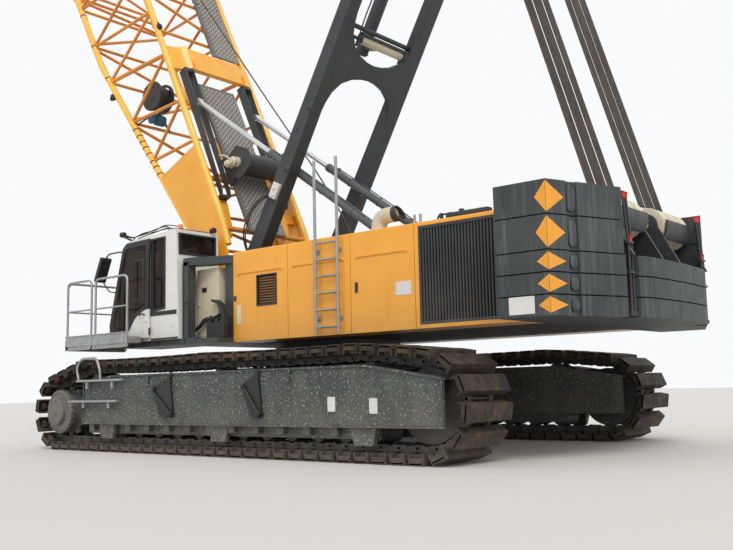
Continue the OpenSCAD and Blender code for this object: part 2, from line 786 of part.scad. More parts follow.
module cab_bracket() {
    color(dark_grey) {
        // Floor frame that carries the cab and reaches back to the deck
        block([1250, house_in, body_z], [3250, cab_out - 60, cab_z]);
        block([body_front, house_in, body_z], [1251, 2080, 1780]);
        block([1420, 1930, 1779], [1560, 2080, 3060]);
        block([body_front, 1560, 1779], [900, 1740, 3060]);
        translate([0, 0, 3000]) linear_extrude(130)
            polygon([[body_front, 1560], [900, 1560], [1560, 1880], [1560, 2080], [1420, 2080], [body_front, 1740]]);
    }
    color(cream) block([1000, house_in + 10, 1779], [1520, 1500, 2950]);
    color(black) block([body_front + 40, 1560, 1779], [1180, 1900, 2040]);
}

platform_z = 1880;
module cab_platform() {
    color(galvanised) {
        // Front platform and side platform
        block([3560, cab_in, platform_z - 110], [4330, 2520, platform_z]);
        block([2480, cab_out + 90, platform_z - 110], [3561, 2520, platform_z]);
        block([3250, cab_in, platform_z - 110], [3561, cab_out - 100, cab_z - 8]);
        // Toe boards
        block([2480, 2500, 1700], [4330, 2520, 1960]);
        block([4310, cab_in, 1700], [4330, 2520, 1960]);
        // Handrails
        for (r = [[[4300, 2490], [3560, 2490]], [[3440, 2490], [2520, 2490]], [[4300, cab_in + 30], [4300, 2490]]])
            let (a = r[0], b = r[1]) {
                tube_run([[a[0], a[1], platform_z - 50], [a[0], a[1], 2860], [a[0] + (b[0] - a[0]) * 0.06, a[1] + (b[1] - a[1]) * 0.06, 2920],
                          [b[0] - (b[0] - a[0]) * 0.06, b[1] - (b[1] - a[1]) * 0.06, 2920], [b[0], b[1], 2860], [b[0], b[1], platform_z - 50]], 42);
                tube([a[0], a[1], 2400], [b[0], b[1], 2400], 30);
            }
    }
}

module cab_fittings() {
    color(black) {
        // Mirror on its arm
        tube_run([[3125, cab_out + seat_gap, 3400], [3125, cab_out + 65, 3400], [3290, cab_out + 180, 3370],
                  [3385, cab_out + 190, 3280]], 26);
        side_profile(cab_out + 90, cab_out + 290) polygon([
            [3335, 3270], [3352, 3305], [3388, 3315], [3402, 3300], [3575, 2930], [3565, 2895], [3530, 2882], [3507, 2900]
        ]);
        // Work lamps on the roof
        side_profile(cab_out - 105, cab_out - 75) polygon([
            [2880, roof_at(2880)], [2960, roof_at(2960)], [3255, 3695], [3215, 3715]
        ]);
        block([3206, cab_out - 150, 3690], [3306, cab_out - 30, 3790]);
        side_profile(cab_in + 110, cab_in + 150) polygon([
            [1668, roof_at(1668)], [1730, roof_at(1730)], [1730, 3665], [1668, 3665]
        ]);
        block([1590, cab_in + 70, 3646], [1690, cab_in + 190, 3726]);
        // Guard over the roof window
        for (y = [cab_in + 150, cab_out - 190]) side_profile(y, y + 40) polygon([
            [2150, roof_at(2150)], [2950, roof_at(2950)], [2950, roof_at(2950) + 40], [2150, roof_at(2150) + 40]
        ]);
        for (i = [0:10]) {
            x = 2180 + i * 74;
            side_profile(cab_in + 150, cab_out - 150) translate([x, roof_at(x) + 34]) square([22, 20]);
        }
    }
    color(black) block([1640, cab_out, 2215], [2395, door_y - seat_gap, 2285]);
    color("orange") {
        side_profile(cab_out - 160, cab_out - 100) polygon([
            [1665, roof_at(1665)], [1735, roof_at(1735)], [1735, 3655], [1665, 3655]
        ]);
        translate([1700, cab_out - 130, 3654]) cylinder(h = 84, d = 92);
    }
}

// Boom

// One lacing zigzag on a side face, from the tables of rear and front stations
module side_lacing(rear_s, front_s) {
    for (i = [0:len(front_s) - 1]) {
        f = [front_s[i], half_at(front_s[i]), front_at(front_s[i])];
        for (k = [i, i + 1])
            if (k < len(rear_s)) tube(f, [rear_s[k], half_at(rear_s[k]), rear_at(rear_s[k])], lacing_d);
    }
}

// A zigzag with rungs between the two sides of one face
module face_lacing(stations, level) {
    for (i = [0:len(stations) - 1]) {
        s = stations[i];
        t = lookup(s, level);
        h = half_at(s);
        tube([s, -h, t], [s, h, t], lacing_d);
        if (i < len(stations) - 1) {
            // The diagonals meet the chords beside the rungs
            a = s + 80;
            b = stations[i + 1] - 80;
            side = i % 2 == 0 ? 1 : -1;
            tube([a, -side * half_at(a), lookup(a, level)], [b, side * half_at(b), lookup(b, level)], lacing_d);
        }
    }
}

module chords(s0, s1, level, breaks) {
    stops = concat([s0], [for (b = breaks) if (b > s0 && b < s1) b], [s1]);
    both_sides() for (i = [0:len(stops) - 2]) {
        // Lengths that meet at a bend run a little past it
        a = stops[i];
        b = stops[i + 1];
        p = [a, half_at(a), lookup(a, level)];
        q = [b, half_at(b), lookup(b, level)];
        u = (q - p) / norm(q - p);
        tube(i > 0 ? p - 11 * u : p, i < len(stops) - 2 ? q + 7 * u : q, chord_d, 12);
    }
}

// Pin collars where two sections meet
module collars(s, dir) {
    both_sides() for (level = [rear_t, front_t]) {
        t = lookup(s, level);
        tube([s, half_at(s), t], [s + dir * 160, half_at(s), t], chord_d + 44, 12);
    }
}

cheek_top = 3120;
beam_s = 4880;
guide_t = 305;
guide_s0 = 2030;
guide_s1 = beam_s - 20;
winch_at = [2550, 760];
winch_half = 560;
walk_z = 360 + chord_d / 2 + seat_gap;
module boom_foot() {
    j = boom_joint_1;
    color(yellow) on_boom() difference() {
        union() {
            chords(1000, j - 6, rear_t, [1500]);
            chords(700, j - 6, front_t, [6450]);
            both_sides() {
                // Cheek plates between the chords, down to the foot lugs
                side_profile(boom_lug_in, boom_lug_in + 30) {
                    circle(r = 180);
                    polygon([[0, 180], [1500, 360], [cheek_top, 360], [cheek_top, front_at(cheek_top)],
                             [700, -236], [0, -180]]);
                }
                side_profile(boom_lug_in, boom_lug_in + boom_lug_t) circle(r = 180);
                side_lacing([3250, 4180, 5300, 6400, j - 1100, j - 120], [3600, 4700, 5930, j - 1600, j - 500]);
                // Brackets below the backstop guides
                side_profile(640, 840) polygon([
                    [1420, 150], [1900, guide_t - 75 - seat_gap], [guide_s0 + 70, guide_t - 75 - seat_gap],
                    [guide_s0 + 70, 195], [1800, 60], [1480, 80]
                ]);
                side_profile(840 - eps, boom_lug_in + 5) polygon([[1780, 190], [1960, 225], [1960, 150], [1780, 110]]);
                // Wings of the cross beam
                translate([beam_s + 40, 0, 0]) rotate([90, 0, 90]) linear_extrude(560) polygon([
                    [650, 580], [720, 512], [800, 470], [900, 440], [1050, 418], [1050, 372], [895, 400], [780, 432],
                    [690, 480], [650, 530]
                ]);
                // Pads below the winch frame and the walkways
                block([2440, winch_half, 240], [2560, winch_half + 40, 400]);
                block([2440, 200, 240], [2560, 260, walk_z - seat_gap]);
                block([1300, 200, 300], [1400, 260, walk_z - seat_gap]);
            }
            for (s = [5930, j - 500]) block([s - 25, -600, 360], [s + 25, -500, walk_z - seat_gap]);
            face_lacing([1350, 2300, 3250, 4700, 5930, j - 1600, j - 500, j - 100], front_t);
            face_lacing([5930, j - 1600, j - 500, j - 100], rear_t);
            tube([1350, -boom_half, 300], [1350, boom_half, 300], 100);
            tube([2500, -boom_half, 240], [2500, boom_half, 240], 100);
            // Cross beam
            block([beam_s, -660, 540], [beam_s + 520, 660, 580]);
            block([beam_s, -620, 490], [beam_s + 30, 620, 541]);
            collars(j, -1);
        }
        both_sides() cross_shaft([0, 0], boom_lug_in - 1, boom_lug_in + boom_lug_t + 1, foot_pin_d + 2 * pin_fit);
    }
}

module boom_insert() {
    s0 = boom_joint_1;
    s1 = boom_joint_2;
    color(yellow) on_boom() {
        chords(s0 + 6, s1 - 6, rear_t, []);
        chords(s0 + 6, s1 - 6, front_t, [9000]);
        both_sides() side_lacing([s0 + 120, s0 + 1240, s0 + 2480, s1 - 120], [s0 + 680, s0 + 1860, s0 + 3100]);
        face_lacing([s0 + 120, s0 + 1240, s0 + 2480, s1 - 120], rear_t);
        face_lacing([s0 + 120, s0 + 1240, s0 + 2480, s1 - 120], front_t);
        collars(s0, 1);
        collars(s1, -1);
    }
}

head_axis = [boom_len - 300, -1250];
pendant_at = [boom_len - 350, -260];
head_in = 600;
module boom_head() {
    s0 = boom_joint_2;
    n = boom_len;
    // Stations spread evenly between the joint and the head
    gap = (n - 1200 - s0 - 120) / 4;
    rear_s = [for (i = [0:4]) s0 + 120 + i * gap];
    front_s = [for (i = [0:3]) s0 + 120 + (i + 0.5) * gap];
    color(yellow) on_boom() difference() {
        union() {
            chords(s0 + 6, chord_end, rear_t, [taper_s]);
            chords(s0 + 6, chord_end, front_t, [taper_s]);
            both_sides() {
                side_lacing(rear_s, front_s);
                // Head cheeks
                side_profile(540, head_in) polygon([
                    [n - 1000, -170], [n - 800, -100], [n - 200, -100], [n - 50, -260], [n - 50, -1150],
                    [n - 150, -1400], [n - 350, -1450], [n - 550, -1350], [n - 1000, -960]
                ]);
                cross_shaft(pendant_at, head_in - eps, 660, 90);
            }
            face_lacing(rear_s, rear_t);
            face_lacing(rear_s, front_t);
            block([n - 900, -541, -860], [n - 860, 541, -260]);
            cross_shaft([n - 350, -400], -541, 541, 140);
            collars(s0, 1);
        }
        cross_shaft(head_axis, -head_in - 1, head_in + 1, 140 + 2 * spin_fit);
    }
}

walk_t = 40;
module boom_walkway() {
    color(galvanised) on_boom() {
        block([1250, -360, walk_z], [4650, 540, walk_z + walk_t]);
        block([5600, -900, walk_z], [boom_joint_1 - 100, -200, walk_z + walk_t]);
    }
}

module backstop_guides() {
    color(black) on_boom() both_sides() {
        for (y = [backstop_y - 105, backstop_y + 85])
            side_profile(y, y + 20) polygon([
                [guide_s0, guide_t], [guide_s1, guide_t + 45], [guide_s1, guide_t + 235], [guide_s0 + 100, guide_t + 95],
                [guide_s0, guide_t + 55]
            ]);
        block([guide_s0, backstop_y - 105, guide_t - 75], [guide_s0 + 60, backstop_y + 105, guide_t + 35]);
        block([guide_s1 - 20, backstop_y - 105, guide_t + 45], [guide_s1 + 60 - seat_gap, backstop_y + 105, guide_t + 228]);
    }
}

module boom_winch_frame() {
    color(black) on_boom() both_sides() difference() {
        side_profile(winch_half, winch_half + 40) {
            translate(winch_at) rotate(15) circle(r = 330, $fn = 6);
            polygon([[2250, 400.3], [2850, 400.3], [2800, 560], [2300, 560]]);
        }
        cross_shaft(winch_at, winch_half - 1, winch_half + 41, 90 + 2 * spin_fit);
    }
}

module boom_winch_drum() {
    color(black) on_boom() {
        cross_shaft(winch_at, -winch_half + 10, winch_half - 10, 420);
        cross_shaft(winch_at, -winch_half - 40, winch_half + 40, 90);
    }
}

reel_at = [5220, -720];
reel_bar_y = 200;
module hose_reel() {
    // Bar that rests on the lacing of the front face
    a = [4700, front_at(4700)];
    b = [5930, front_at(5930)];
    u = (b - a) / norm(b - a);
    rise = (lacing_d + 50) / 2 + seat_gap;
    low = a - 60 * u + rise * [-u[1], u[0]];
    high = b + 60 * u + rise * [-u[1], u[0]];
    on_boom() {
        color(black) {
            cross_shaft(reel_at, 325, 375, 600);
            cross_shaft(reel_at, 625, 675, 600);
            cross_shaft(reel_at, 370, 630, 380);
            cross_shaft(reel_at, reel_bar_y - 15, 330, 160);
            tube([low[0], reel_bar_y, low[1]], [high[0], reel_bar_y, high[1]], 50);
            block([5170, reel_bar_y - 15, front_at(5220) + 60], [5270, reel_bar_y + 25, reel_at[1]]);
            tube([4830, reel_bar_y - 10, front_at(4830) + 66], [4830, 320, front_at(4830) + 66], 50);
        }
        color("#2b6f94") tube([4830, 300, -960], [4830, 640, -960], 220, 12);
    }
}

head_sheave_r = 430;
module head_sheaves() {
    color(black) on_boom() {
        for (y = [-420, -140, 140, 420]) cross_shaft(head_axis, y - 45, y + 45, 2 * head_sheave_r);
        cross_shaft(head_axis, -head_in, head_in, 140);
    }
}

// Point of the boom's frame in the crane's frame
function boom_xz(s, t) = [
    boom_pin[0] + s * cos(boom_angle) - t * sin(boom_angle),
    boom_pin[1] + s * sin(boom_angle) + t * cos(boom_angle)
];
pendant_end = boom_xz(pendant_at[0], pendant_at[1]);
module pendants() {
    a = [pendant_end[0], pendant_end[1]];
    v = [mast_head[0], mast_head[1]] - a;
    u = v / norm(v);
    far = [mast_head[0], mast_head[1]] - u * 420;
    color(dark_grey) both_sides() {
        difference() {
            side_profile(head_in + 12, head_in + 52) {
                translate(a) circle(r = 110);
                polygon([a + 60 * [-u[1], u[0]], a + 60 * [u[1], -u[0]], a + u * 400 + 60 * [u[1], -u[0]],
                         a + u * 400 + 60 * [-u[1], u[0]]]);
            }
            cross_shaft(a, head_in + 11, head_in + 53, 90 + 2 * pin_fit);
        }
        tube([a[0] + u[0] * 380, head_in + 32, a[1] + u[1] * 380], [far[0], head_in + 32, far[1]], 56);
    }
}

// Mast

arch_low = 3750;
arch_high = 4020;
box_end = mast_len - 1200;
leg_taper = atan2(50, box_end);
// Outline of one arch of the cross plate, as [rise from its crown, share of the half width]
arch_pts = [[0, 0], [18, 0.24], [75, 0.5], [190, 0.74], [370, 0.9], [570, 0.975], [740, 1]];
module mast() {
    color(black) on_mast() difference() {
        union() {
            both_sides() {
                side_profile(mast_in, mast_out) {
                    circle(r = 150);
                    polygon([[0, 145], [box_end, 95], [box_end, -95], [0, -145]]);
                }
                // Head plates between the rope groups
                block([box_end - 150, head_plates[0], -95], [box_end + 60, mast_out, 95]);
                for (y = head_plates) side_profile(y, y + head_plate_t) {
                    translate([mast_len, 0]) circle(r = 150);
                    polygon([[box_end, 95], [mast_len, 130], [mast_len, -130], [box_end, -95]]);
                }
            }
            // Cross plate with its two arches
            translate([0, 0, 143]) rotate([0, leg_taper, 0]) translate([0, 0, -70]) linear_extrude(70) polygon(concat(
                [for (q = arch_pts) [arch_low - q[0], q[1] * (mast_in + 2)]],
                [for (i = [len(arch_pts) - 1:-1:1]) [arch_high + arch_pts[i][0], arch_pts[i][1] * (mast_in + 2)]],
                [for (q = arch_pts) [arch_high + q[0], -q[1] * (mast_in + 2)]],
                [for (i = [len(arch_pts) - 1:-1:1]) [arch_low - arch_pts[i][0], -arch_pts[i][1] * (mast_in + 2)]]
            ));
            cross_shaft([arch_high + 500, -20], -mast_in - eps, mast_in + eps, 80);
            cross_shaft([box_end - 50, 0], -mast_in - eps, mast_in + eps, 160);
        }
        both_sides() {
            cross_shaft([0, 0], mast_in - 1, mast_out + 1, mast_pin_d + 2 * pin_fit);
            for (y = head_plates) cross_shaft([mast_len, 0], y - 1, y + head_plate_t + 1, 120 + 2 * pin_fit);
        }
    }
}

module mast_sheaves() {
    color(cream) on_mast() {
        cross_shaft([mast_len, 0], -rope_out, rope_out, 120);
        both_sides() for (g = rope_groups) cross_shaft([mast_len, 0], g[0] + 6, g[1] - 6, 2 * sheave_r);
    }
}

ram_z = -290;
module mast_ram() {
    s = arch_high + 326;
    top = [box_end - 50, 0];
    low = [box_end - 1500, ram_z];
    u = (top - low) / norm(top - low);
    high = top - (80 + seat_gap) * u;
    color(dark_grey) on_mast() {
        cross_shaft([s, 89], -550, 550, 150);
        side_profile(-60, 60) polygon([[s - 60, 60], [s + 55, 60], [s + 55, ram_z + 60], [s - 130, ram_z + 60]]);
        tube([arch_high + 130, 0, ram_z], [low[0], 0, low[1]], 230, 24);
        tube([low[0] - 1, 0, low[1]], [high[0], 0, high[1]], 110, 24);
    }
}

// Backstop cylinders

backstop_v = backstop_eye - backstop_pin;
backstop_len = norm(backstop_v);
backstop_angle = atan2(backstop_v[1], backstop_v[0]);
rod_d = 90;
barrel_len = 2985;
rod_total = 3400;
module on_backstops() {
    both_sides() translate([backstop_pin[0], backstop_y, backstop_pin[1]]) rotate([0, -backstop_angle, 0]) children();
}

module backstop_barrels() {
    color(dark_grey) on_backstops() difference() {
        union() {
            rotate([0, 90, 0]) translate([0, 0, 90]) cylinder(h = barrel_len - 90, d = barrel_d);
            side_profile(-55, 55) {
                circle(r = 70);
                translate([0, -60]) square([120, 120]);
            }
        }
        rotate([0, 90, 0]) translate([0, 0, 250]) cylinder(h = barrel_len, d = rod_d + 2 * pin_fit);
        cross_shaft([0, 0], -56, 56, 60 + 2 * pin_fit);
    }
}

module backstop_rods() {
    color("silver") on_backstops() {
        rotate([0, 90, 0]) translate([0, 0, backstop_len - rod_total]) cylinder(h = rod_total - 40, d = rod_d);
        cross_shaft([backstop_len, 0], -60, 60, 120);
    }
}

// Luffing ropes in three telescoping lengths

stage_len = 4800;
rope_gap = 450;
rope_fit = 0.3;
module rope_stage(x0, x1, inset, thick, wall) {
    color("#3a2f2b") on_ropes() both_sides() for (g = rope_groups) difference() {
        block([x0, g[0] + inset, -thick / 2], [x1, g[1] - inset, thick / 2]);
        if (wall > 0)
            block([x0 - 1, g[0] + inset + wall, -thick / 2 + wall], [x1 + 1, g[1] - inset - wall, thick / 2 - wall]);
    }
}

module luffing_ropes_lower() {
    rope_stage(sheave_r + 50, stage_len, 2, 64, 8);
}

module luffing_ropes_middle() {
    rope_stage(1400, 1400 + stage_len, 10 + rope_fit, 48 - 2 * rope_fit, 8);
}

module luffing_ropes_upper() {
    rope_stage(rope_len - rope_gap - stage_len, rope_len - rope_gap, 18 + 2 * rope_fit, 32 - 4 * rope_fit, 0);
}

// Hook

head_at = boom_xz(head_axis[0], head_axis[1]);
falls_len = 2600;
fall_x = head_at[0] + head_sheave_r + 26;
block_z = head_at[1] - falls_len - 120;
module hook_falls() {
    color(black) for (y = [-140, 140]) tube([fall_x, y, block_z], [fall_x, y, head_at[1]], 36);
    color(yellow) difference() {
        union() {
            for (y = [-220, 160]) side_profile(y, y + 60) translate([fall_x, block_z]) circle(r = 340);
            block([fall_x - 120, -161, block_z - 300], [fall_x + 120, 161, block_z - 180]);
            for (y = [-140, 60]) cross_shaft([fall_x, block_z], y, y + 80, 400);
            cross_shaft([fall_x, block_z], -161, 161, 120);
        }
        translate([fall_x, 0, block_z - 301]) cylinder(h = 122, d = 110 + 2 * pin_fit);
    }
}

module hook() {
    z = block_z - 300;
    color(dark_grey) translate([fall_x, 0, z]) {
        translate([0, 0, -180]) cylinder(h = 290, d = 110);
        rotate([90, 0, 0]) translate([0, -380, -55]) linear_extrude(110) difference() {
            circle(r = 230);
            circle(r = 120);
            translate([20, 20]) square([260, 260]);
        }
    }
}

carbody();
track_frame();  // track_frame_left
mirror([0, 1, 0]) track_frame();  // track_frame_right
track();  // track_left
mirror([0, 1, 0]) track();  // track_right
both_sides() final_drive();  // final_drives
both_sides() track_wheel_set();  // track_wheels
both_sides() undercarriage_step_set();  // undercarriage_steps
slew_ring();
main_deck();
house(seam_x);  // house_left
mirror([0, 1, 0]) house(seam_x);  // house_right
both_sides() radiator_grille();  // radiator_grilles
exhaust();
deck_ladder();
counterweight_tray();
counterweight_slabs();
counterweight_blocks();
rope_block_frame();
rope_block_sheaves();
drum(front_drum, drum_flange_r, drum_rope_r);  // hoist_drum_front
drum(rear_drum, drum_flange_r, drum_rope_r);  // hoist_drum_rear
drum(luff_drum, luff_flange_r, luff_rope_r);  // luffing_drum
cab_bracket();
cab_shell();
cab_glass();
cab_seat();
cab_door();
cab_door_glass();
cab_platform();
cab_fittings();
boom_foot();
boom_insert();
boom_head();
boom_walkway();
backstop_guides();
boom_winch_frame();
boom_winch_drum();
hose_reel();
head_sheaves();
pendants();
mast();
mast_sheaves();
mast_ram();
backstop_barrels();
backstop_rods();
luffing_ropes_lower();
luffing_ropes_middle();
luffing_ropes_upper();
hook_falls();
hook();
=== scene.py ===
import itertools
import math

import bmesh
import bpy
from mathutils import Matrix, Vector


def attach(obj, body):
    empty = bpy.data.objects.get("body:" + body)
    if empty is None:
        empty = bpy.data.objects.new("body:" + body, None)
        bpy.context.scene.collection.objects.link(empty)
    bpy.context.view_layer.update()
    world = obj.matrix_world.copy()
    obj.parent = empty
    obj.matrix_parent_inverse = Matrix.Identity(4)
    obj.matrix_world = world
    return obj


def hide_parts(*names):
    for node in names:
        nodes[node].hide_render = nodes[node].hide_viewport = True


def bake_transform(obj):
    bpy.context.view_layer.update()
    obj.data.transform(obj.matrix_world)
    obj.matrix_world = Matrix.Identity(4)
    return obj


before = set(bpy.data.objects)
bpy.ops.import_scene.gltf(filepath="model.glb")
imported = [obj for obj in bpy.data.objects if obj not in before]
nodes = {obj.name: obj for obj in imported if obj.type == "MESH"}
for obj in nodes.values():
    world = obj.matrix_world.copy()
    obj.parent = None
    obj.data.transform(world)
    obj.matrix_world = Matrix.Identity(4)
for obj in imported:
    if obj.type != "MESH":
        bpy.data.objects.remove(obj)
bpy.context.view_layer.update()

print("stage: packed frame loaded")

# node helpers


def putNode(tree, kind, given=(), **settings):
    node = tree.nodes.new(kind)
    for key, value in settings.items():
        setattr(node, key, value)
    for label, value in dict(given).items():
        if isinstance(value, bpy.types.NodeSocket):
            tree.links.new(value, node.inputs[label])
        else:
            node.inputs[label].default_value = value
    return node


def mathNode(tree, operation, *values):
    return putNode(tree, "ShaderNodeMath", enumerate(values), operation=operation).outputs[0]


# camera, floor and light

photoCamera = {
    "place": (-10.373, 11.721, 0.943),
    "yaw": 50.37,  # degrees from +X towards -Y
    "pitch": 6.98,
    "roll": -1.31,
    "focalMm": 44.88,
    "sensorMm": 36.0,
}


def addCamera(look):
    yaw, pitch, roll = (math.radians(look[k]) for k in ("yaw", "pitch", "roll"))
    ahead = Vector((math.cos(yaw), -math.sin(yaw), 0))
    aside = Vector((-math.sin(yaw), -math.cos(yaw), 0))
    above = Vector((0, 0, 1))
    forward = ahead * math.cos(pitch) + above * math.sin(pitch)
    tilted = above * math.cos(pitch) - ahead * math.sin(pitch)
    right = aside * math.cos(roll) + tilted * math.sin(roll)
    up = tilted * math.cos(roll) - aside * math.sin(roll)
    data = bpy.data.cameras.new("photoCamera")
    data.lens, data.sensor_width = look["focalMm"], look["sensorMm"]
    data.clip_end = 500
    camera = bpy.data.objects.new("photoCamera", data)
    bpy.context.scene.collection.objects.link(camera)
    turn = Matrix((right, up, -forward)).transposed().to_4x4()
    camera.matrix_world = Matrix.Translation(look["place"]) @ turn
    bpy.context.scene.camera = camera


addCamera(photoCamera)

lighting = {
    "skyColor": (0.93, 0.95, 1.0),
    "skyStrength": 0.85,
    "sunStrength": 1.6,
    "sunColor": (1.0, 0.97, 0.92),
    "sunAngle": 24.0,  # degrees across, as soft as a thin overcast
    "sunFrom": (-14.0, 12.0, 22.0),
    "backdropColor": (0.95, 0.96, 0.97),
    "floorColor": (0.62, 0.6, 0.57),
    "floorReach": 90.0,
    "floorLevel": -0.002,
}


def addLight(light):
    world = bpy.data.worlds.new("paleSky")
    bpy.context.scene.world = world
    world.use_nodes = True
    tree = world.node_tree
    tree.nodes.clear()
    path = tree.nodes.new("ShaderNodeLightPath")
    lit = putNode(tree, "ShaderNodeBackground", {"Color": (*light["skyColor"], 1),
                                                 "Strength": light["skyStrength"]})
    seen = putNode(tree, "ShaderNodeBackground", {"Color": (*light["backdropColor"], 1), "Strength": 1.0})
    straightRay = path.outputs["Is Camera Ray"]
    for label in ("Is Transmission Ray", "Is Glossy Ray"):
        straightRay = mathNode(tree, "MAXIMUM", straightRay, path.outputs[label])
    mix = putNode(tree, "ShaderNodeMixShader", {0: straightRay, 1: lit.outputs[0], 2: seen.outputs[0]})
    putNode(tree, "ShaderNodeOutputWorld", {0: mix.outputs[0]})
    sun = bpy.data.lights.new("softSun", "SUN")
    sun.energy, sun.color = light["sunStrength"], light["sunColor"]
    sun.angle = math.radians(light["sunAngle"])
    lamp = bpy.data.objects.new("softSun", sun)
    lamp.rotation_mode = "QUATERNION"
    lamp.rotation_quaternion = Vector(light["sunFrom"]).to_track_quat("Z", "Y")
    bpy.context.scene.collection.objects.link(lamp)
    mesh = bpy.data.meshes.new("floor")
    r = light["floorReach"]
    mesh.from_pydata([(-r, -r, 0), (r, -r, 0), (r, r, 0), (-r, r, 0)], [], [(0, 1, 2, 3)])
    floor = bpy.data.objects.new("floor", mesh)
    floor.location.z = light["floorLevel"]
    bpy.context.scene.collection.objects.link(floor)
    paint = bpy.data.materials.new("paleFloor")
    paint.use_nodes = True
    shader = paint.node_tree.nodes["Principled BSDF"]
    shader.inputs["Base Color"].default_value = (*light["floorColor"], 1)
    shader.inputs["Roughness"].default_value = 0.9
    floor.data.materials.append(paint)


addLight(lighting)
bpy.context.scene.view_settings.view_transform = "Standard"
print("stage: camera, floor and light")

# shared shader effects


def newEffect(name, sockets, result):
    tree = bpy.data.node_groups.new(name, "ShaderNodeTree")
    for label, kind, value in sockets:
        made = tree.interface.new_socket(label, in_out="INPUT", socket_type="NodeSocket" + kind)
        made.default_value = value
    tree.interface.new_socket(result, in_out="OUTPUT", socket_type="NodeSocketFloat")
    return tree, tree.nodes.new("NodeGroupInput").outputs, tree.nodes.new("NodeGroupOutput").inputs[0]


def patchyEffect():
    # drifting tone, rain streaks and specks, by what is fed in
    tree, given, out = newEffect("patchyCover", [
        ("Scale", "Float", 1.0), ("Stretch", "Vector", (1, 1, 1)), ("Low", "Float", 0.4),
        ("High", "Float", 0.6), ("Amount", "Float", 1.0)], "Mask")
    place = putNode(tree, "ShaderNodeTexCoord").outputs["Object"]
    mapping = putNode(tree, "ShaderNodeMapping", {"Vector": place, "Scale": given["Stretch"]})
    noise = putNode(tree, "ShaderNodeTexNoise", {
        "Vector": mapping.outputs[0], "Scale": given["Scale"], "Detail": 5.0, "Roughness": 0.6})
    span = putNode(tree, "ShaderNodeMapRange", {
        "Value": noise.outputs["Fac"], "From Min": given["Low"], "From Max": given["High"]})
    tree.links.new(mathNode(tree, "MULTIPLY", span.outputs[0], given["Amount"]), out)
    return tree


def dustEffect():
    # thick near the ground and on faces that look up
    tree, given, out = newEffect("settledDust", [
        ("Floor", "Float", 0.0), ("Fade", "Float", 1.5), ("Upward", "Float", 0.5), ("Scale", "Float", 4.0),
        ("Amount", "Float", 0.5)], "Mask")
    place = putNode(tree, "ShaderNodeTexCoord").outputs["Object"]
    height = putNode(tree, "ShaderNodeSeparateXYZ", {0: place}).outputs["Z"]
    normal = putNode(tree, "ShaderNodeNewGeometry").outputs["Normal"]
    facing = putNode(tree, "ShaderNodeSeparateXYZ", {0: normal}).outputs["Z"]
    noise = putNode(tree, "ShaderNodeTexNoise", {"Vector": place, "Scale": given["Scale"], "Detail": 6.0})
    span = putNode(tree, "ShaderNodeMapRange", {
        "Value": height, "From Min": given["Floor"], "From Max": given["Fade"], "To Min": 1.0,
        "To Max": 0.0})
    patches = putNode(tree, "ShaderNodeMapRange", {"Value": noise.outputs["Fac"], "From Min": 0.3,
                                                   "From Max": 0.7})
    upward = mathNode(tree, "MULTIPLY", mathNode(tree, "MAXIMUM", facing, 0.0), given["Upward"])
    both = mathNode(tree, "ADD", span.outputs[0], upward)
    uneven = mathNode(tree, "MULTIPLY", both, mathNode(tree, "MULTIPLY_ADD", patches.outputs[0], 0.7, 0.3))
    scaled = mathNode(tree, "MULTIPLY", uneven, given["Amount"])
    tree.links.new(mathNode(tree, "MINIMUM", scaled, 1.0), out)
    return tree


def grainEffect():
    # cast skin, orange peel and brush marks
    tree, given, out = newEffect("surfaceGrain", [
        ("Scale", "Float", 60.0), ("Stretch", "Vector", (1, 1, 1)), ("Coarse", "Float", 0.3)], "Height")
    place = putNode(tree, "ShaderNodeTexCoord").outputs["Object"]
    mapping = putNode(tree, "ShaderNodeMapping", {"Vector": place, "Scale": given["Stretch"]})
    fine = putNode(tree, "ShaderNodeTexNoise", {
        "Vector": mapping.outputs[0], "Scale": given["Scale"], "Detail": 4.0})
    broad = putNode(tree, "ShaderNodeTexNoise", {
        "Vector": mapping.outputs[0], "Scale": mathNode(tree, "MULTIPLY", given["Scale"], 0.08)})
    height = mathNode(tree, "MULTIPLY_ADD", broad.outputs["Fac"], given["Coarse"], fine.outputs["Fac"])
    tree.links.new(height, out)
    return tree


patchyCover, settledDust, surfaceGrain = patchyEffect(), dustEffect(), grainEffect()


def placeEffect(tree, effect, **values):
    node = tree.nodes.new("ShaderNodeGroup")
    node.node_tree = effect
    for label, value in values.items():
        node.inputs[label.capitalize()].default_value = value
    return node.outputs[0]


def mixColors(tree, mask, under, over):
    node = tree.nodes.new("ShaderNodeMix")
    node.data_type = "RGBA"
    tree.links.new(mask, node.inputs[0])
    for i, color in ((6, under), (7, over)):
        if isinstance(color, tuple):
            node.inputs[i].default_value = (*color, 1)
        else:
            tree.links.new(color, node.inputs[i])
    return node.outputs[2]


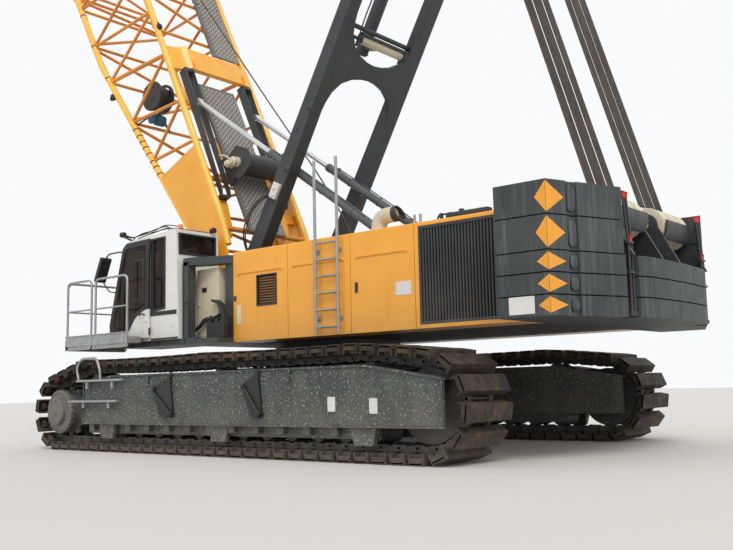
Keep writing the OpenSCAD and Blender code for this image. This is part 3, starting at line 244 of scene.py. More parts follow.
def makePaint(name, look):
    paint = bpy.data.materials.new(name)
    paint.use_nodes = True
    tree = paint.node_tree
    shader = tree.nodes["Principled BSDF"]
    driftScale = look.get("driftScale", 1.5)
    drift = placeEffect(tree, patchyCover, scale=driftScale, low=0.35, high=0.7, amount=1.0)
    color = mixColors(tree, drift, look["base"], look["tone"])
    layers = [(patchyCover, cover) for cover in look.get("covers", ())]
    if "dust" in look:
        layers.append((settledDust, look["dust"]))
    for effect, (over, values) in layers:
        color = mixColors(tree, placeEffect(tree, effect, **values), color, over)
    sheen = placeEffect(tree, patchyCover, scale=driftScale * 4, low=0.3, high=0.7, amount=1.0)
    smooth, dull = look["rough"]
    rough = putNode(tree, "ShaderNodeMapRange", {"Value": sheen, "To Min": smooth, "To Max": dull})
    grain = placeEffect(tree, surfaceGrain, scale=look["grain"], stretch=(1, 1, 1), coarse=0.3)
    bump = putNode(tree, "ShaderNodeBump", {"Height": grain, "Strength": look["bump"], "Distance": 0.004})
    tree.links.new(color, shader.inputs["Base Color"])
    tree.links.new(rough.outputs[0], shader.inputs["Roughness"])
    tree.links.new(bump.outputs[0], shader.inputs["Normal"])
    shader.inputs["Metallic"].default_value = look.get("metallic", 0.0)
    shader.inputs["Coat Weight"].default_value = look.get("coat", 0.0)
    shader.inputs["Coat Roughness"].default_value = 0.15
    return paint


def cover(color, scale, low, high, amount, stretch=(1, 1, 1)):
    return color, {"scale": scale, "low": low, "high": high, "amount": amount, "stretch": stretch}


def dust(color, floor, fade, upward, scale, amount):
    return color, {"floor": floor, "fade": fade, "upward": upward, "scale": scale, "amount": amount}


looks = {
    "housePaint": {
        "base": (0.93, 0.41, 0.028), "tone": (0.88, 0.36, 0.022), "rough": (0.28, 0.42), "coat": 0.35,
        "grain": 25, "bump": 0.06,
        "covers": [cover((0.62, 0.27, 0.05), 7.0, 0.6, 0.85, 0.35, (1, 1, 0.09))],
        "dust": dust((0.5, 0.33, 0.14), 1.6, 2.1, 0.25, 6.0, 0.3)},
    "chordPaint": {
        "base": (0.95, 0.52, 0.05), "tone": (0.9, 0.45, 0.035), "rough": (0.3, 0.45), "coat": 0.3,
        "grain": 30, "bump": 0.06,
        "covers": [cover((0.55, 0.3, 0.07), 9.0, 0.66, 0.76, 0.4)]},
    "lacingPaint": {
        "base": (0.8, 0.31, 0.02), "tone": (0.62, 0.2, 0.014), "rough": (0.35, 0.55), "coat": 0.15,
        "grain": 30, "bump": 0.08,
        "covers": [cover((0.35, 0.15, 0.04), 11.0, 0.62, 0.75, 0.5)]},
    "cheekPaint": {
        "base": (0.92, 0.43, 0.03), "tone": (0.86, 0.36, 0.02), "rough": (0.3, 0.42), "coat": 0.3,
        "grain": 20, "bump": 0.06,
        "covers": [cover((0.5, 0.22, 0.04), 5.0, 0.62, 0.8, 0.3, (1, 1, 0.2))]},
    "framePaint": {
        "base": (0.066, 0.074, 0.069), "tone": (0.05, 0.056, 0.052), "rough": (0.5, 0.75), "grain": 45,
        "bump": 0.2, "driftScale": 0.9,
        "covers": [cover((0.45, 0.44, 0.38), 30.0, 0.585, 0.615, 0.65),
                   cover((0.17, 0.165, 0.14), 3.0, 0.5, 0.75, 0.5, (1, 1, 0.3))],
        "dust": dust((0.2, 0.18, 0.15), 0.3, 0.9, 0.5, 5.0, 0.55)},
    "trackIron": {
        "base": (0.02, 0.017, 0.015), "tone": (0.032, 0.024, 0.018), "rough": (0.6, 0.85), "grain": 35,
        "bump": 0.35, "driftScale": 2.2,
        "covers": [cover((0.15, 0.085, 0.03), 6.0, 0.46, 0.7, 0.6),
                   cover((0.2, 0.12, 0.05), 14.0, 0.62, 0.76, 0.35)],
        "dust": dust((0.13, 0.115, 0.095), 0.05, 0.42, 0.1, 9.0, 0.8)},
    "wheelIron": {
        "base": (0.045, 0.045, 0.042), "tone": (0.028, 0.028, 0.026), "rough": (0.5, 0.75), "grain": 40,
        "bump": 0.25,
        "dust": dust((0.19, 0.17, 0.14), 0.2, 1.1, 0.4, 7.0, 0.7)},
    "hubPaint": {
        "base": (0.16, 0.16, 0.14), "tone": (0.11, 0.11, 0.095), "rough": (0.5, 0.7), "grain": 40,
        "bump": 0.2,
        "dust": dust((0.25, 0.22, 0.17), 0.3, 1.2, 0.5, 8.0, 0.5)},
    "blackPaint": {
        "base": (0.022, 0.024, 0.026), "tone": (0.035, 0.036, 0.037), "rough": (0.35, 0.55), "grain": 40,
        "bump": 0.1,
        "dust": dust((0.14, 0.13, 0.11), 1.5, 2.2, 0.35, 5.0, 0.4)},
    "grillePaint": {
        "base": (0.028, 0.03, 0.032), "tone": (0.045, 0.046, 0.047), "rough": (0.35, 0.5), "grain": 50,
        "bump": 0.08,
        "dust": dust((0.16, 0.145, 0.12), 1.7, 2.4, 0.3, 6.0, 0.35)},
    "creamPaint": {
        "base": (0.68, 0.62, 0.46), "tone": (0.6, 0.53, 0.38), "rough": (0.35, 0.5), "grain": 30,
        "bump": 0.06,
        "covers": [cover((0.3, 0.25, 0.16), 8.0, 0.6, 0.8, 0.45, (1, 1, 0.4))]},
    "galvanisedSteel": {
        "base": (0.42, 0.43, 0.42), "tone": (0.3, 0.31, 0.31), "rough": (0.35, 0.55), "metallic": 0.55,
        "grain": 70, "bump": 0.12, "driftScale": 9.0,
        "covers": [cover((0.22, 0.2, 0.17), 12.0, 0.62, 0.8, 0.4)]},
    "weightPaint": {
        "base": (0.036, 0.043, 0.045), "tone": (0.052, 0.06, 0.062), "rough": (0.5, 0.68), "grain": 90,
        "bump": 0.22, "driftScale": 1.2,
        "covers": [cover((0.15, 0.165, 0.165), 16.0, 0.5, 0.72, 0.5, (1, 1, 0.06)),
                   cover((0.012, 0.015, 0.016), 4.0, 0.55, 0.72, 0.6, (1, 1, 0.25))],
        "dust": dust((0.2, 0.2, 0.18), 1.0, 1.7, 0.5, 9.0, 0.45)},
    "diamondPaint": {
        "base": (0.87, 0.37, 0.03), "tone": (0.8, 0.32, 0.03), "rough": (0.4, 0.5), "grain": 40,
        "bump": 0.06,
        "covers": [cover((0.4, 0.2, 0.06), 18.0, 0.62, 0.78, 0.5)]},
    "cabPaint": {
        "base": (0.8, 0.79, 0.74), "tone": (0.74, 0.72, 0.66), "rough": (0.22, 0.36), "coat": 0.4,
        "grain": 25, "bump": 0.05,
        "covers": [cover((0.5, 0.46, 0.37), 9.0, 0.62, 0.85, 0.35, (1, 1, 0.12))],
        "dust": dust((0.5, 0.46, 0.38), 1.7, 2.1, 0.2, 6.0, 0.35)},
    "trimPlastic": {
        "base": (0.012, 0.012, 0.013), "tone": (0.022, 0.022, 0.022), "rough": (0.4, 0.6), "grain": 120,
        "bump": 0.12,
        "covers": [cover((0.07, 0.065, 0.055), 12.0, 0.6, 0.8, 0.4)]},
    "seatCloth": {
        "base": (0.02, 0.02, 0.022), "tone": (0.035, 0.035, 0.037), "rough": (0.85, 0.95), "grain": 420,
        "bump": 0.5, "driftScale": 6.0},
    "portalPaint": {
        "base": (0.05, 0.058, 0.06), "tone": (0.038, 0.044, 0.046), "rough": (0.4, 0.55), "grain": 40,
        "bump": 0.1,
        "covers": [cover((0.12, 0.12, 0.11), 10.0, 0.6, 0.8, 0.35, (1, 1, 0.2))]},
    "mastPaint": {
        "base": (0.042, 0.048, 0.05), "tone": (0.032, 0.036, 0.038), "rough": (0.42, 0.58), "grain": 40,
        "bump": 0.12, "driftScale": 1.0,
        "covers": [cover((0.09, 0.09, 0.085), 9.0, 0.6, 0.82, 0.35, (1, 1, 0.2))]},
    "barrelPaint": {
        "base": (0.11, 0.125, 0.13), "tone": (0.08, 0.09, 0.095), "rough": (0.3, 0.45), "grain": 40,
        "bump": 0.08,
        "covers": [cover((0.2, 0.19, 0.17), 10.0, 0.6, 0.8, 0.3)]},
    "chromeRod": {
        "base": (0.72, 0.73, 0.74), "tone": (0.6, 0.61, 0.62), "rough": (0.12, 0.25), "metallic": 0.85,
        "grain": 90, "bump": 0.04},
    "ropeSteel": {
        "base": (0.075, 0.06, 0.05), "tone": (0.045, 0.035, 0.03), "rough": (0.45, 0.65), "metallic": 0.3,
        "grain": 260, "bump": 0.5,
        "covers": [cover((0.2, 0.17, 0.14), 30.0, 0.55, 0.75, 0.4)]},
    "hookIron": {
        "base": (0.07, 0.07, 0.07), "tone": (0.1, 0.1, 0.095), "rough": (0.45, 0.65), "grain": 50,
        "bump": 0.2},
    "treadSteel": {
        "base": (0.52, 0.49, 0.44), "tone": (0.42, 0.39, 0.34), "rough": (0.4, 0.6), "metallic": 0.2,
        "grain": 60, "bump": 0.15,
        "covers": [cover((0.2, 0.18, 0.15), 10.0, 0.6, 0.75, 0.5)]},
    "treadPlate": {
        "base": (0.2, 0.19, 0.17), "tone": (0.14, 0.132, 0.12), "rough": (0.45, 0.65), "metallic": 0.3,
        "grain": 60, "bump": 0.15,
        "covers": [cover((0.18, 0.165, 0.14), 16.0, 0.55, 0.75, 0.5)]},
    "motorBlue": {
        "base": (0.03, 0.14, 0.24), "tone": (0.02, 0.1, 0.18), "rough": (0.35, 0.5), "grain": 40,
        "bump": 0.08},
    "plateWhite": {
        "base": (0.75, 0.75, 0.72), "tone": (0.66, 0.65, 0.6), "rough": (0.3, 0.45), "grain": 40,
        "bump": 0.05,
        "covers": [cover((0.35, 0.32, 0.27), 15.0, 0.6, 0.8, 0.4)]},
    "beaconLens": {
        "base": (0.85, 0.25, 0.02), "tone": (0.75, 0.2, 0.02), "rough": (0.1, 0.2), "coat": 0.6, "grain": 30,
        "bump": 0.05},
    "signalRed": {
        "base": (0.6, 0.03, 0.02), "tone": (0.5, 0.02, 0.02), "rough": (0.3, 0.45), "grain": 30,
        "bump": 0.05},
}
paints = {name: makePaint(name, look) for name, look in looks.items()}


def makeGlass(name, tint):
    paint = bpy.data.materials.new(name)
    paint.use_nodes = True
    tree = paint.node_tree
    shader = tree.nodes["Principled BSDF"]
    smear = placeEffect(tree, patchyCover, scale=2.5, low=0.4, high=0.8, amount=1.0)
    tree.links.new(mixColors(tree, smear, tint, tuple(0.75 * c for c in tint)), shader.inputs["Base Color"])
    haze = putNode(tree, "ShaderNodeMapRange", {"Value": smear, "To Min": 0.02, "To Max": 0.08})
    tree.links.new(haze.outputs[0], shader.inputs["Roughness"])
    shader.inputs["Transmission Weight"].default_value = 0.92
    shader.inputs["IOR"].default_value = 1.2
    return paint


paints["cabGlass"] = makeGlass("cabGlass", (0.17, 0.13, 0.10))
print("stage: materials")

# shape helpers, all in millimetres

mm = Matrix.Scale(0.001, 4)


def tiltedFrame(x, z, degrees):
    return Matrix.Translation((x / 1000, 0, z / 1000)) @ Matrix.Rotation(-math.radians(degrees), 4, "Y") @ mm


boomFrame = tiltedFrame(1450, 2450, 65)
mastFrame = tiltedFrame(1150, 2930, 119.8418)
ropeFrame = tiltedFrame(-5420, 3050, 73.75)
backstopFrame = tiltedFrame(-1620, 3323, 35.18)


def skinRings(bm, rings, capped=True):
    n = len(rings[0])
    for lower, upper in zip(rings, rings[1:]):
        for i in range(n):
            bm.faces.new((lower[i], lower[(i + 1) % n], upper[(i + 1) % n], upper[i]))
    if capped:
        bm.faces.new(rings[0])
        bm.faces.new(rings[-1])


def addPrism(bm, outline, low, high, axis="y", holes=()):
    put = {"x": lambda u, v, w: (w, u, v), "y": lambda u, v, w: (u, w, v),
           "z": lambda u, v, w: (u, v, w)}[axis]
    levels = ([], [])
    for ring in (outline, *holes):
        pair = [[bm.verts.new(put(u, v, w)) for u, v in ring] for w in (low, high)]
        skinRings(bm, pair, capped=not holes)
        for level, made in zip(levels, pair):
            level.append(made)
    if holes:
        for level in levels:
            edges = [bm.edges.get((ring[i - 1], ring[i])) for ring in level for i in range(len(ring))]
            bmesh.ops.triangle_fill(bm, use_beauty=True, edges=edges)


def addBox(bm, low, high):
    (x0, y0, z0), (x1, y1, z1) = low, high
    addPrism(bm, rectangle(x0, y0, x1, y1), z0, z1, "z")


def softened(path, bend, steps=5):
    points = [Vector(p) for p in path]
    if not bend or len(points) < 3:
        return points
    out = [points[0]]
    for a, b, c in zip(points, points[1:], points[2:]):
        reach = min(bend, (a - b).length * 0.49, (c - b).length * 0.49)
        start, end = b + (a - b).normalized() * reach, b + (c - b).normalized() * reach
        out += [start.lerp(b, i / steps).lerp(b.lerp(end, i / steps), i / steps) for i in range(steps + 1)]
    return out + [points[-1]]


def addTube(bm, path, d, sides=10, bend=0):
    points = softened(path, bend)
    rings, side = [], None
    for i, p in enumerate(points):
        ahead = (points[min(i + 1, len(points) - 1)] - points[max(i - 1, 0)]).normalized()
        side = ahead.orthogonal() if side is None else side - ahead * side.dot(ahead)
        side.normalize()
        up = ahead.cross(side)
        rings.append([bm.verts.new(p + (side * math.cos(a) + up * math.sin(a)) * (d / 2))
                      for a in (math.tau * k / sides for k in range(sides))])
    skinRings(bm, rings)


def addTurned(bm, centre, axis, profile, sides=32):
    u, v, w = (Vector(k) for k in {"x": ((0, 1, 0), (0, 0, 1), (1, 0, 0)),
                                   "y": ((0, 0, 1), (1, 0, 0), (0, 1, 0)),
                                   "z": ((1, 0, 0), (0, 1, 0), (0, 0, 1))}[axis])
    rings = [[bm.verts.new(Vector(centre) + w * a + (u * math.cos(t) + v * math.sin(t)) * r)
              for t in (math.tau * k / sides for k in range(sides))] for a, r in profile]
    skinRings(bm, rings)


def mirrorAcross(bm):
    made = bmesh.ops.duplicate(bm, geom=bm.verts[:] + bm.edges[:] + bm.faces[:])["geom"]
    bmesh.ops.scale(bm, vec=(1, -1, 1), verts=[v for v in made if isinstance(v, bmesh.types.BMVert)])
    bmesh.ops.reverse_faces(bm, faces=[f for f in made if isinstance(f, bmesh.types.BMFace)])


def flipped(bm, scale):
    bmesh.ops.scale(bm, vec=scale, verts=bm.verts)
    bmesh.ops.reverse_faces(bm, faces=bm.faces)
    return bm


def finishPiece(name, bm, body, paint, place=mm, bevel=0.0, replaced=(), sharp=38):
    bmesh.ops.recalc_face_normals(bm, faces=bm.faces)
    bm.transform(place)
    mesh = bpy.data.meshes.new(name)
    bm.to_mesh(mesh)
    bm.free()
    mesh.materials.clear()
    mesh.materials.append(paints[paint])
    mesh.shade_smooth()
    mesh.set_sharp_from_angle(angle=math.radians(sharp))
    piece = bpy.data.objects.new(name, mesh)
    bpy.context.scene.collection.objects.link(piece)
    if bevel:
        addBevel(piece, bevel)
    if body:
        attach(piece, body)
    if replaced:
        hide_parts(*replaced)
    return piece


def addBevel(piece, width):
    soft = piece.modifiers.new("softEdges", "BEVEL")
    soft.width, soft.segments = width / 1000, 2
    soft.limit_method, soft.angle_limit = "ANGLE", math.radians(40)


# repeaters: a row of copies, and copies along a path

def newRepeater(name, sockets):
    # one object copied over points, with its paint
    tree = bpy.data.node_groups.new(name, "GeometryNodeTree")
    tree.interface.new_socket("Geometry", in_out="INPUT", socket_type="NodeSocketGeometry")
    for label, kind in (("Copy", "Object"), ("Count", "Int"), ("Paint", "Material"), *sockets):
        tree.interface.new_socket(label, in_out="INPUT", socket_type="NodeSocket" + kind)
    tree.interface.new_socket("Geometry", in_out="OUTPUT", socket_type="NodeSocketGeometry")
    given = putNode(tree, "NodeGroupInput").outputs
    info = putNode(tree, "GeometryNodeObjectInfo", {"Object": given["Copy"]})
    spread = putNode(tree, "GeometryNodeInstanceOnPoints", {"Instance": info.outputs["Geometry"]})
    real = putNode(tree, "GeometryNodeRealizeInstances", {0: spread.outputs[0]})
    painted = putNode(tree, "GeometryNodeSetMaterial", {"Geometry": real.outputs[0],
                                                        "Material": given["Paint"]})
    putNode(tree, "NodeGroupOutput", {0: painted.outputs[0]})
    return tree, given, spread.inputs


def rowRepeater():
    tree, given, spread = newRepeater("rowOfCopies", (("Start", "Vector"), ("Step", "Vector")))
    line = putNode(tree, "GeometryNodeMeshLine", mode="OFFSET", given={
        "Count": given["Count"], "Start Location": given["Start"], "Offset": given["Step"]})
    tree.links.new(line.outputs[0], spread["Points"])
    return tree


def pathRepeater():
    tree, given, spread = newRepeater("copiesAlongPath", ())
    curve = putNode(tree, "GeometryNodeMeshToCurve", {0: given["Geometry"]})
    points = putNode(tree, "GeometryNodeCurveToPoints", mode="COUNT", given={
        "Curve": curve.outputs[0], "Count": given["Count"]})
    turn = putNode(tree, "FunctionNodeAlignRotationToVector", axis="X", pivot_axis="Y", given={
        "Vector": points.outputs["Tangent"]})
    tree.links.new(points.outputs["Points"], spread["Points"])
    tree.links.new(turn.outputs[0], spread["Rotation"])
    return tree


rowOfCopies, copiesAlongPath = rowRepeater(), pathRepeater()


def grow(bm, tree, copy, count, paint, path=(), closed=True, **values):
    stock = bpy.data.meshes.new("stock")
    copy.to_mesh(stock)
    copy.free()
    rail = bpy.data.meshes.new("rail")
    n = len(path)
    rail.from_pydata([tuple(p) for p in path], [(i, (i + 1) % n) for i in range(n if closed else n - 1)], [])
    stockObject, railObject = bpy.data.objects.new("stock", stock), bpy.data.objects.new("rail", rail)
    for made in (stockObject, railObject):
        bpy.context.scene.collection.objects.link(made)
    repeat = railObject.modifiers.new("repeat", "NODES")
    repeat.node_group = tree
    given = {"Copy": stockObject, "Count": count, "Paint": paints[paint],
             **{k.capitalize(): v for k, v in values.items()}}
    for item in tree.interface.items_tree:
        if item.in_out == "INPUT" and item.name in given:
            repeat[item.identifier] = given[item.name]
    depsgraph = bpy.context.evaluated_depsgraph_get()
    made = bpy.data.meshes.new_from_object(railObject.evaluated_get(depsgraph), depsgraph=depsgraph)
    railObject.modifiers.remove(repeat)
    bm.from_mesh(made)
    for thing in (stockObject, railObject):
        bpy.data.objects.remove(thing)
    for thing in (stock, rail, made):
        bpy.data.meshes.remove(thing)


def arcOutline(u, v, r, first, last, steps):
    # from one angle to another, both in turns
    return [(u + r * math.cos(a), v + r * math.sin(a))
            for a in (math.tau * (first + (last - first) * k / steps) for k in range(steps + 1))]


def circleOutline(u, v, r, steps):
    return arcOutline(u, v, r, 0, 1, steps)[:-1]


def circlePath(x, y, z, r, steps=72):
    return [(u, y, v) for u, v in circleOutline(x, z, r, steps)]


def roundedOutline(u0, v0, u1, v1, r, steps):
    corners = ((u1 - r, v1 - r), (u0 + r, v1 - r), (u0 + r, v0 + r), (u1 - r, v0 + r))
    return [p for k, (u, v) in enumerate(corners) for p in arcOutline(u, v, r, k / 4, (k + 1) / 4, steps)]


def ovalOutline(u, v, halfWide, halfHigh):
    return roundedOutline(u - halfWide, v - halfHigh, u + halfWide, v + halfHigh, min(halfWide, halfHigh), 6)


def rectangle(u0, v0, u1, v1, inset=0):
    return [(u0 + inset, v0 + inset), (u1 - inset, v0 + inset), (u1 - inset, v1 - inset),
            (u0 + inset, v1 - inset)]


def roundedBox(bm, low, high, r, axis="y"):
    # a box with rounded corners across one axis
    keep = {"y": (0, 2, 1), "z": (0, 1, 2), "x": (1, 2, 0)}[axis]
    (u0, v0, w0), (u1, v1, w1) = ([corner[k] for k in keep] for corner in (low, high))
    addPrism(bm, roundedOutline(u0, v0, u1, v1, r, 4), w0, w1, axis)


print("stage: helpers")

# CAD nodes that keep their own mesh

kept = {
    "carbody": ("framePaint", 8), "track_frame_left": ("framePaint", 5),
    "track_frame_right": ("framePaint", 5), "track_wheels": ("wheelIron", 6), "slew_ring": ("wheelIron", 6),
    "main_deck": ("blackPaint", 8), "rope_block_frame": ("blackPaint", 6),
    "hoist_drum_front": ("blackPaint", 5), "hoist_drum_rear": ("blackPaint", 5),
    "luffing_drum": ("blackPaint", 5), "cab_bracket": ("portalPaint", 6),
    "boom_winch_drum": ("blackPaint", 5), "head_sheaves": ("blackPaint", 5), "pendants": ("portalPaint", 4),
    "mast_sheaves": ("creamPaint", 5), "hook": ("hookIron", 10), "hook_falls": ("lacingPaint", 5),
    "backstop_guides": ("portalPaint", 4), "boom_winch_frame": ("portalPaint", 5),
    "counterweight_tray": ("weightPaint", 12), "mast_ram": ("portalPaint", 5),
}
for nodeName, (paintName, width) in kept.items():
    node = nodes[nodeName]
    for slot in node.material_slots:
        slot.material = paints[paintName]
    addBevel(node, width)
for nodeName in ("cab_glass", "cab_door_glass"):
    for slot in nodes[nodeName].material_slots:
        slot.material = paints["cabGlass"]

# tracks

track = {"y": 2450, "pinFront": 490, "pinRear": 550, "sprocket": (3900, 640), "idler": (-3850, 700),
         "skids": (3150, 0, -2900), "pinTop": 1350, "sag": 18, "shoes": 66, "shoeHalf": 500}


def trackLoop():
    def hang(x0, z0, x1, z1, sag, n):
        steps = [i / n for i in range(1, n + 1)]
        return [(x0 + (x1 - x0) * u, z0 + (z1 - z0) * u - 4 * sag * u * (1 - u)) for u in steps]

    front, rear, top = track["sprocket"], track["idler"], track["pinTop"]
    points = arcOutline(*front, track["pinFront"], -90 / 360, 75 / 360, 26)
    first, middle, last = track["skids"]
    points += hang(*points[-1], first, top, 0, 3)
    points += hang(first, top, middle, top, track["sag"], 12)
    points += hang(middle, top, last, top, track["sag"], 12)
    end = arcOutline(*rear, track["pinRear"], 96 / 360, 270 / 360, 28)
    return points + hang(last, top, *end[0], 0, 3) + end[1:]


def shoeCopy():
    bm = bmesh.new()
    addPrism(bm, [(-118, -14), (-106, -150), (106, -150), (118, -14), (94, -14), (84, -112), (-84, -112),
                  (-94, -14)], -track["shoeHalf"], track["shoeHalf"])
    for y in (-70, 70):  # blank cast ovals on the plate
        addPrism(bm, [(u * 0.9, y + v) for u, v in ovalOutline(0, 0, 62, 42)], -156, -140, "z")
    addBox(bm, (-100, -270, -112), (100, 270, -6))
    for y in (-400, 400):
        addPrism(bm, [(-84, -112), (84, -112), (60, -30), (20, -14), (-20, -14), (-60, -30)], y - 34, y + 34)
    for y in (8 - track["shoeHalf"], track["shoeHalf"] - 8):
        addBox(bm, (-100, y - 8, -140), (100, y + 8, -60))
    return bm


def linkCopy():
    bm = bmesh.new()
    for y in (-222, 222):
        addPrism(bm, [(-140, 6), (-120, -8), (120, -8), (140, 10), (150, 44), (128, 76), (60, 80), (20, 60),
                      (-20, 60), (-70, 80), (-128, 70), (-150, 40)], y - 32, y + 32)
        addTurned(bm, (-142, y, 34), "y", [(-40, 30), (-40, 42), (40, 42), (40, 30)], 12)
    addTurned(bm, (-142, 0, 34), "y", [(-262, 20), (262, 20)], 10)
    for x in (-60, 60):
        for y in (-150, 150):
            addTurned(bm, (x, y, -6), "z", [(0, 18), (16, 18), (18, 12)], 6)
    return bm


for side, name in ((1, "left"), (-1, "right")):
    path = [(x, side * track["y"], z) for x, z in trackLoop()]
    shoes = bmesh.new()
    grow(shoes, copiesAlongPath, shoeCopy(), track["shoes"], "trackIron", path)
    finishPiece("trackShoes_" + name, shoes, "undercarriage", "trackIron", bevel=5,
                replaced=("track_" + name,))
    links = bmesh.new()
    grow(links, copiesAlongPath, linkCopy(), track["shoes"], "trackIron", path)
    finishPiece("chainLinks_" + name, links, "undercarriage", "wheelIron")

hub = {"x": 3900, "z": 640, "teeth": 12, "scallops": 24, "bolts": 28, "innerBolts": 12, "rims": (2250, 2590)}


def addDriveHub():
    bm = bmesh.new()
    x, z = hub["x"], hub["z"]
    addTurned(bm, (x, 0, z), "y", [(2010, 300), (2010, 318), (2780, 318), (2800, 340), (2812, 362),
                                   (2872, 362), (2880, 350), (2884, 300), (2884, 226), (2952, 226),
                                   (2962, 216), (2962, 60), (2974, 48), (2974, 8)], 64)
    # the path runs with its inner side up, so what stands outwards is turned over
    tooth = bmesh.new()
    for y in hub["rims"]:
        addPrism(tooth, [(-58, -20), (-30, 62), (-12, 76), (12, 76), (30, 62), (58, -20)], y, y + 60)
        addTurned(bm, (x, 0, z), "y", [(y, 330), (y, 360), (y + 60, 360), (y + 60, 330)], 48)
    grow(bm, copiesAlongPath, flipped(tooth, (1, 1, -1)), hub["teeth"], "hubPaint", circlePath(x, 0, z, 356))
    notch = bmesh.new()
    addPrism(notch, [(-30, -6), (-22, 10), (22, 10), (30, -6)], 2800, 2876)
    grow(bm, copiesAlongPath, flipped(notch, (1, 1, -1)), hub["scallops"], "hubPaint",
         circlePath(x, 0, z, 362))
    for y, ring, count, profile in ((2884, 320, hub["bolts"], [(-2, 15), (12, 15), (15, 11)]),
                                    (2962, 180, hub["innerBolts"], [(-2, 12), (8, 12), (10, 9)])):
        bolt = bmesh.new()
        addTurned(bolt, (0, y, 0), "y", profile, 6)
        grow(bm, copiesAlongPath, bolt, count, "hubPaint", circlePath(x, 0, z, ring))
    mirrorAcross(bm)
    finishPiece("driveHubs", bm, "undercarriage", "hubPaint", bevel=3,
                replaced=("final_drives",))


addDriveHub()

# trim of the track frames, steps and support arms

frameTrim = {"tabs": ((1338, 1126), (-1717, 1126)), "seams": (1247, -1749, -3047),
             "plates": ((-2465, 732), (-3160, 708)), "side": 2930}


def addFrameTrim():
    bm = bmesh.new()
    y = frameTrim["side"]
    for x, z in frameTrim["tabs"]:
        addPrism(bm, [(x - 26, z + 66), (x - 26, z - 80), (x - 10, z - 104), (x + 10, z - 104),
                      (x + 26, z - 80), (x + 26, z + 66)], y, y + 34)
        addTurned(bm, (x, y + 34, z - 70), "y", [(-2, 22), (6, 20), (8, 6)], 12)
    for x in frameTrim["seams"]:
        addBox(bm, (x - 5, y - 2, 466), (x + 5, y + 4, 1190 if x > -3000 else 1170))
    addBox(bm, (3062, y, 470), (3084, y + 22, 1080))
    addBox(bm, (-4204, y, 470), (-4180, y + 20, 1000))
    addPrism(bm, [(-4100, 466), (2960, 466), (3000, 500), (3060, 500), (3060, 520), (2990, 520), (2950, 484),
                  (-4100, 484)], y, y + 12)
    for x in (620, 650, 680):
        addTurned(bm, (x, y, 1010), "y", [(-2, 12), (6, 12), (8, 8)], 10)
    for x in (-3700, -3960):
        addTurned(bm, (x, y, 900), "y", [(-2, 30), (3, 30), (4, 16)], 20)
    mirrorAcross(bm)
    finishPiece("frameTrim", bm, "undercarriage", "framePaint", bevel=2)
    bm = bmesh.new()
    for x, z in frameTrim["plates"]:
        roundedBox(bm, (x - 62, y, z - 94), (x + 62, y + 14, z + 94), 10)
        for dx, dz in ((-44, -76), (44, -76), (-44, 76), (44, 76)):
            addTurned(bm, (x + dx, y + 14, z + dz), "y", [(-2, 9), (5, 9), (7, 5)], 8)
        addBox(bm, (x - 38, y + 12, z - 8), (x + 38, y + 18, z + 2))
    mirrorAcross(bm)
    finishPiece("blankPlates", bm, "undercarriage", "plateWhite", bevel=1.5)


grabRail = ((3150, 1130), (3150, 1180), (3215, 1360), (3085, 1514), (2640, 1514), (2535, 1290), (2535, 1130))


def addSteps():
    bm = bmesh.new()
    addTube(bm, [(x, 2990, z) for x, z in grabRail], 42, 12, 90)
    for x0, x1, z in ((1931, 3180, 1143), (2050, 3400, 808)):
        roundedBox(bm, (x0, 2954, z - 17), (x1, 3028, z + 17), 15, "x")
        knob = bmesh.new()
        addTurned(knob, (0, 2991, 0), "z", [(14, 12), (22, 12), (24, 8)], 8)
        knobs = 24
        grow(bm, rowOfCopies, knob, knobs, "galvanisedSteel", start=(x0 + 40, 0, z),
             step=((x1 - x0 - 80) / (knobs - 1), 0, 0))
    for x in (2200, 2900):
        addBox(bm, (x, 2930, 1010), (x + 60, 2986, 1132))
        addBox(bm, (x + 100, 2930, 700), (x + 150, 2986, 800))
    mirrorAcross(bm)
    finishPiece("stepRails", bm, "undercarriage", "galvanisedSteel", bevel=2,
                replaced=("undercarriage_steps",))
    bm = bmesh.new()
    for x, wide, top in ((700, 310, 510), (-1210, 200, 420)):
        addPrism(bm, [(x, 560), (x + wide, 560), (x + top, 1000), (x + 80, 1175)], 2932, 2968)
        addTube(bm, [(x + 40, 2985, 610), (x + wide + top * 0.4 - 40, 2985, 960)], 40, 10)
        addTurned(bm, (x + 50, 2930, 610), "y", [(0, 52), (84, 52), (90, 40)], 20)
        addTurned(bm, (x + top - 60, 2930, 990), "y", [(0, 34), (66, 34), (70, 26)], 16)
        addTube(bm, [(x + 90, 2950, 1150), (x + 90, 2950, 1215), (x + 40, 2950, 1225)], 22, 8, 20)
        addBox(bm, (x + 60, 2930, 1140), (x + 140, 2960, 1200))
    mirrorAcross(bm)
    finishPiece("supportArms", bm, "undercarriage", "trimPlastic", bevel=3)


addFrameTrim()
addSteps()
print("stage: undercarriage")

# counterweight: layers with a recess, pads, diamonds and rod slots

weight = {
    "layers": ((2868, 3284, 1340), (2452, 2868, 1340), (2195, 2452, 0), (1938, 2195, 0), (1700, 1938, 0)),
    "front": -4690, "corner": (-5390, 2450), "tail": (-5908, 1100), "seam": 15, "recess": (330, 452, 34),
    "slot": (1120, 1320), "slotFront": -5660, "lowest": 1700, "blocksFrom": 2452,
}
tailEdge = ((-5944, 1000), (-5966, 830), (-5984, 560), (-5996, 280), (-6000, 0))
tailStep = (Vector(weight["tail"]) - Vector(weight["corner"])).normalized()
tailOut = Vector((tailStep.y, -tailStep.x))


def alongTail(u, out=0.0):
    p = Vector(weight["corner"]) + tailStep * u + tailOut * out
    return p.x, p.y


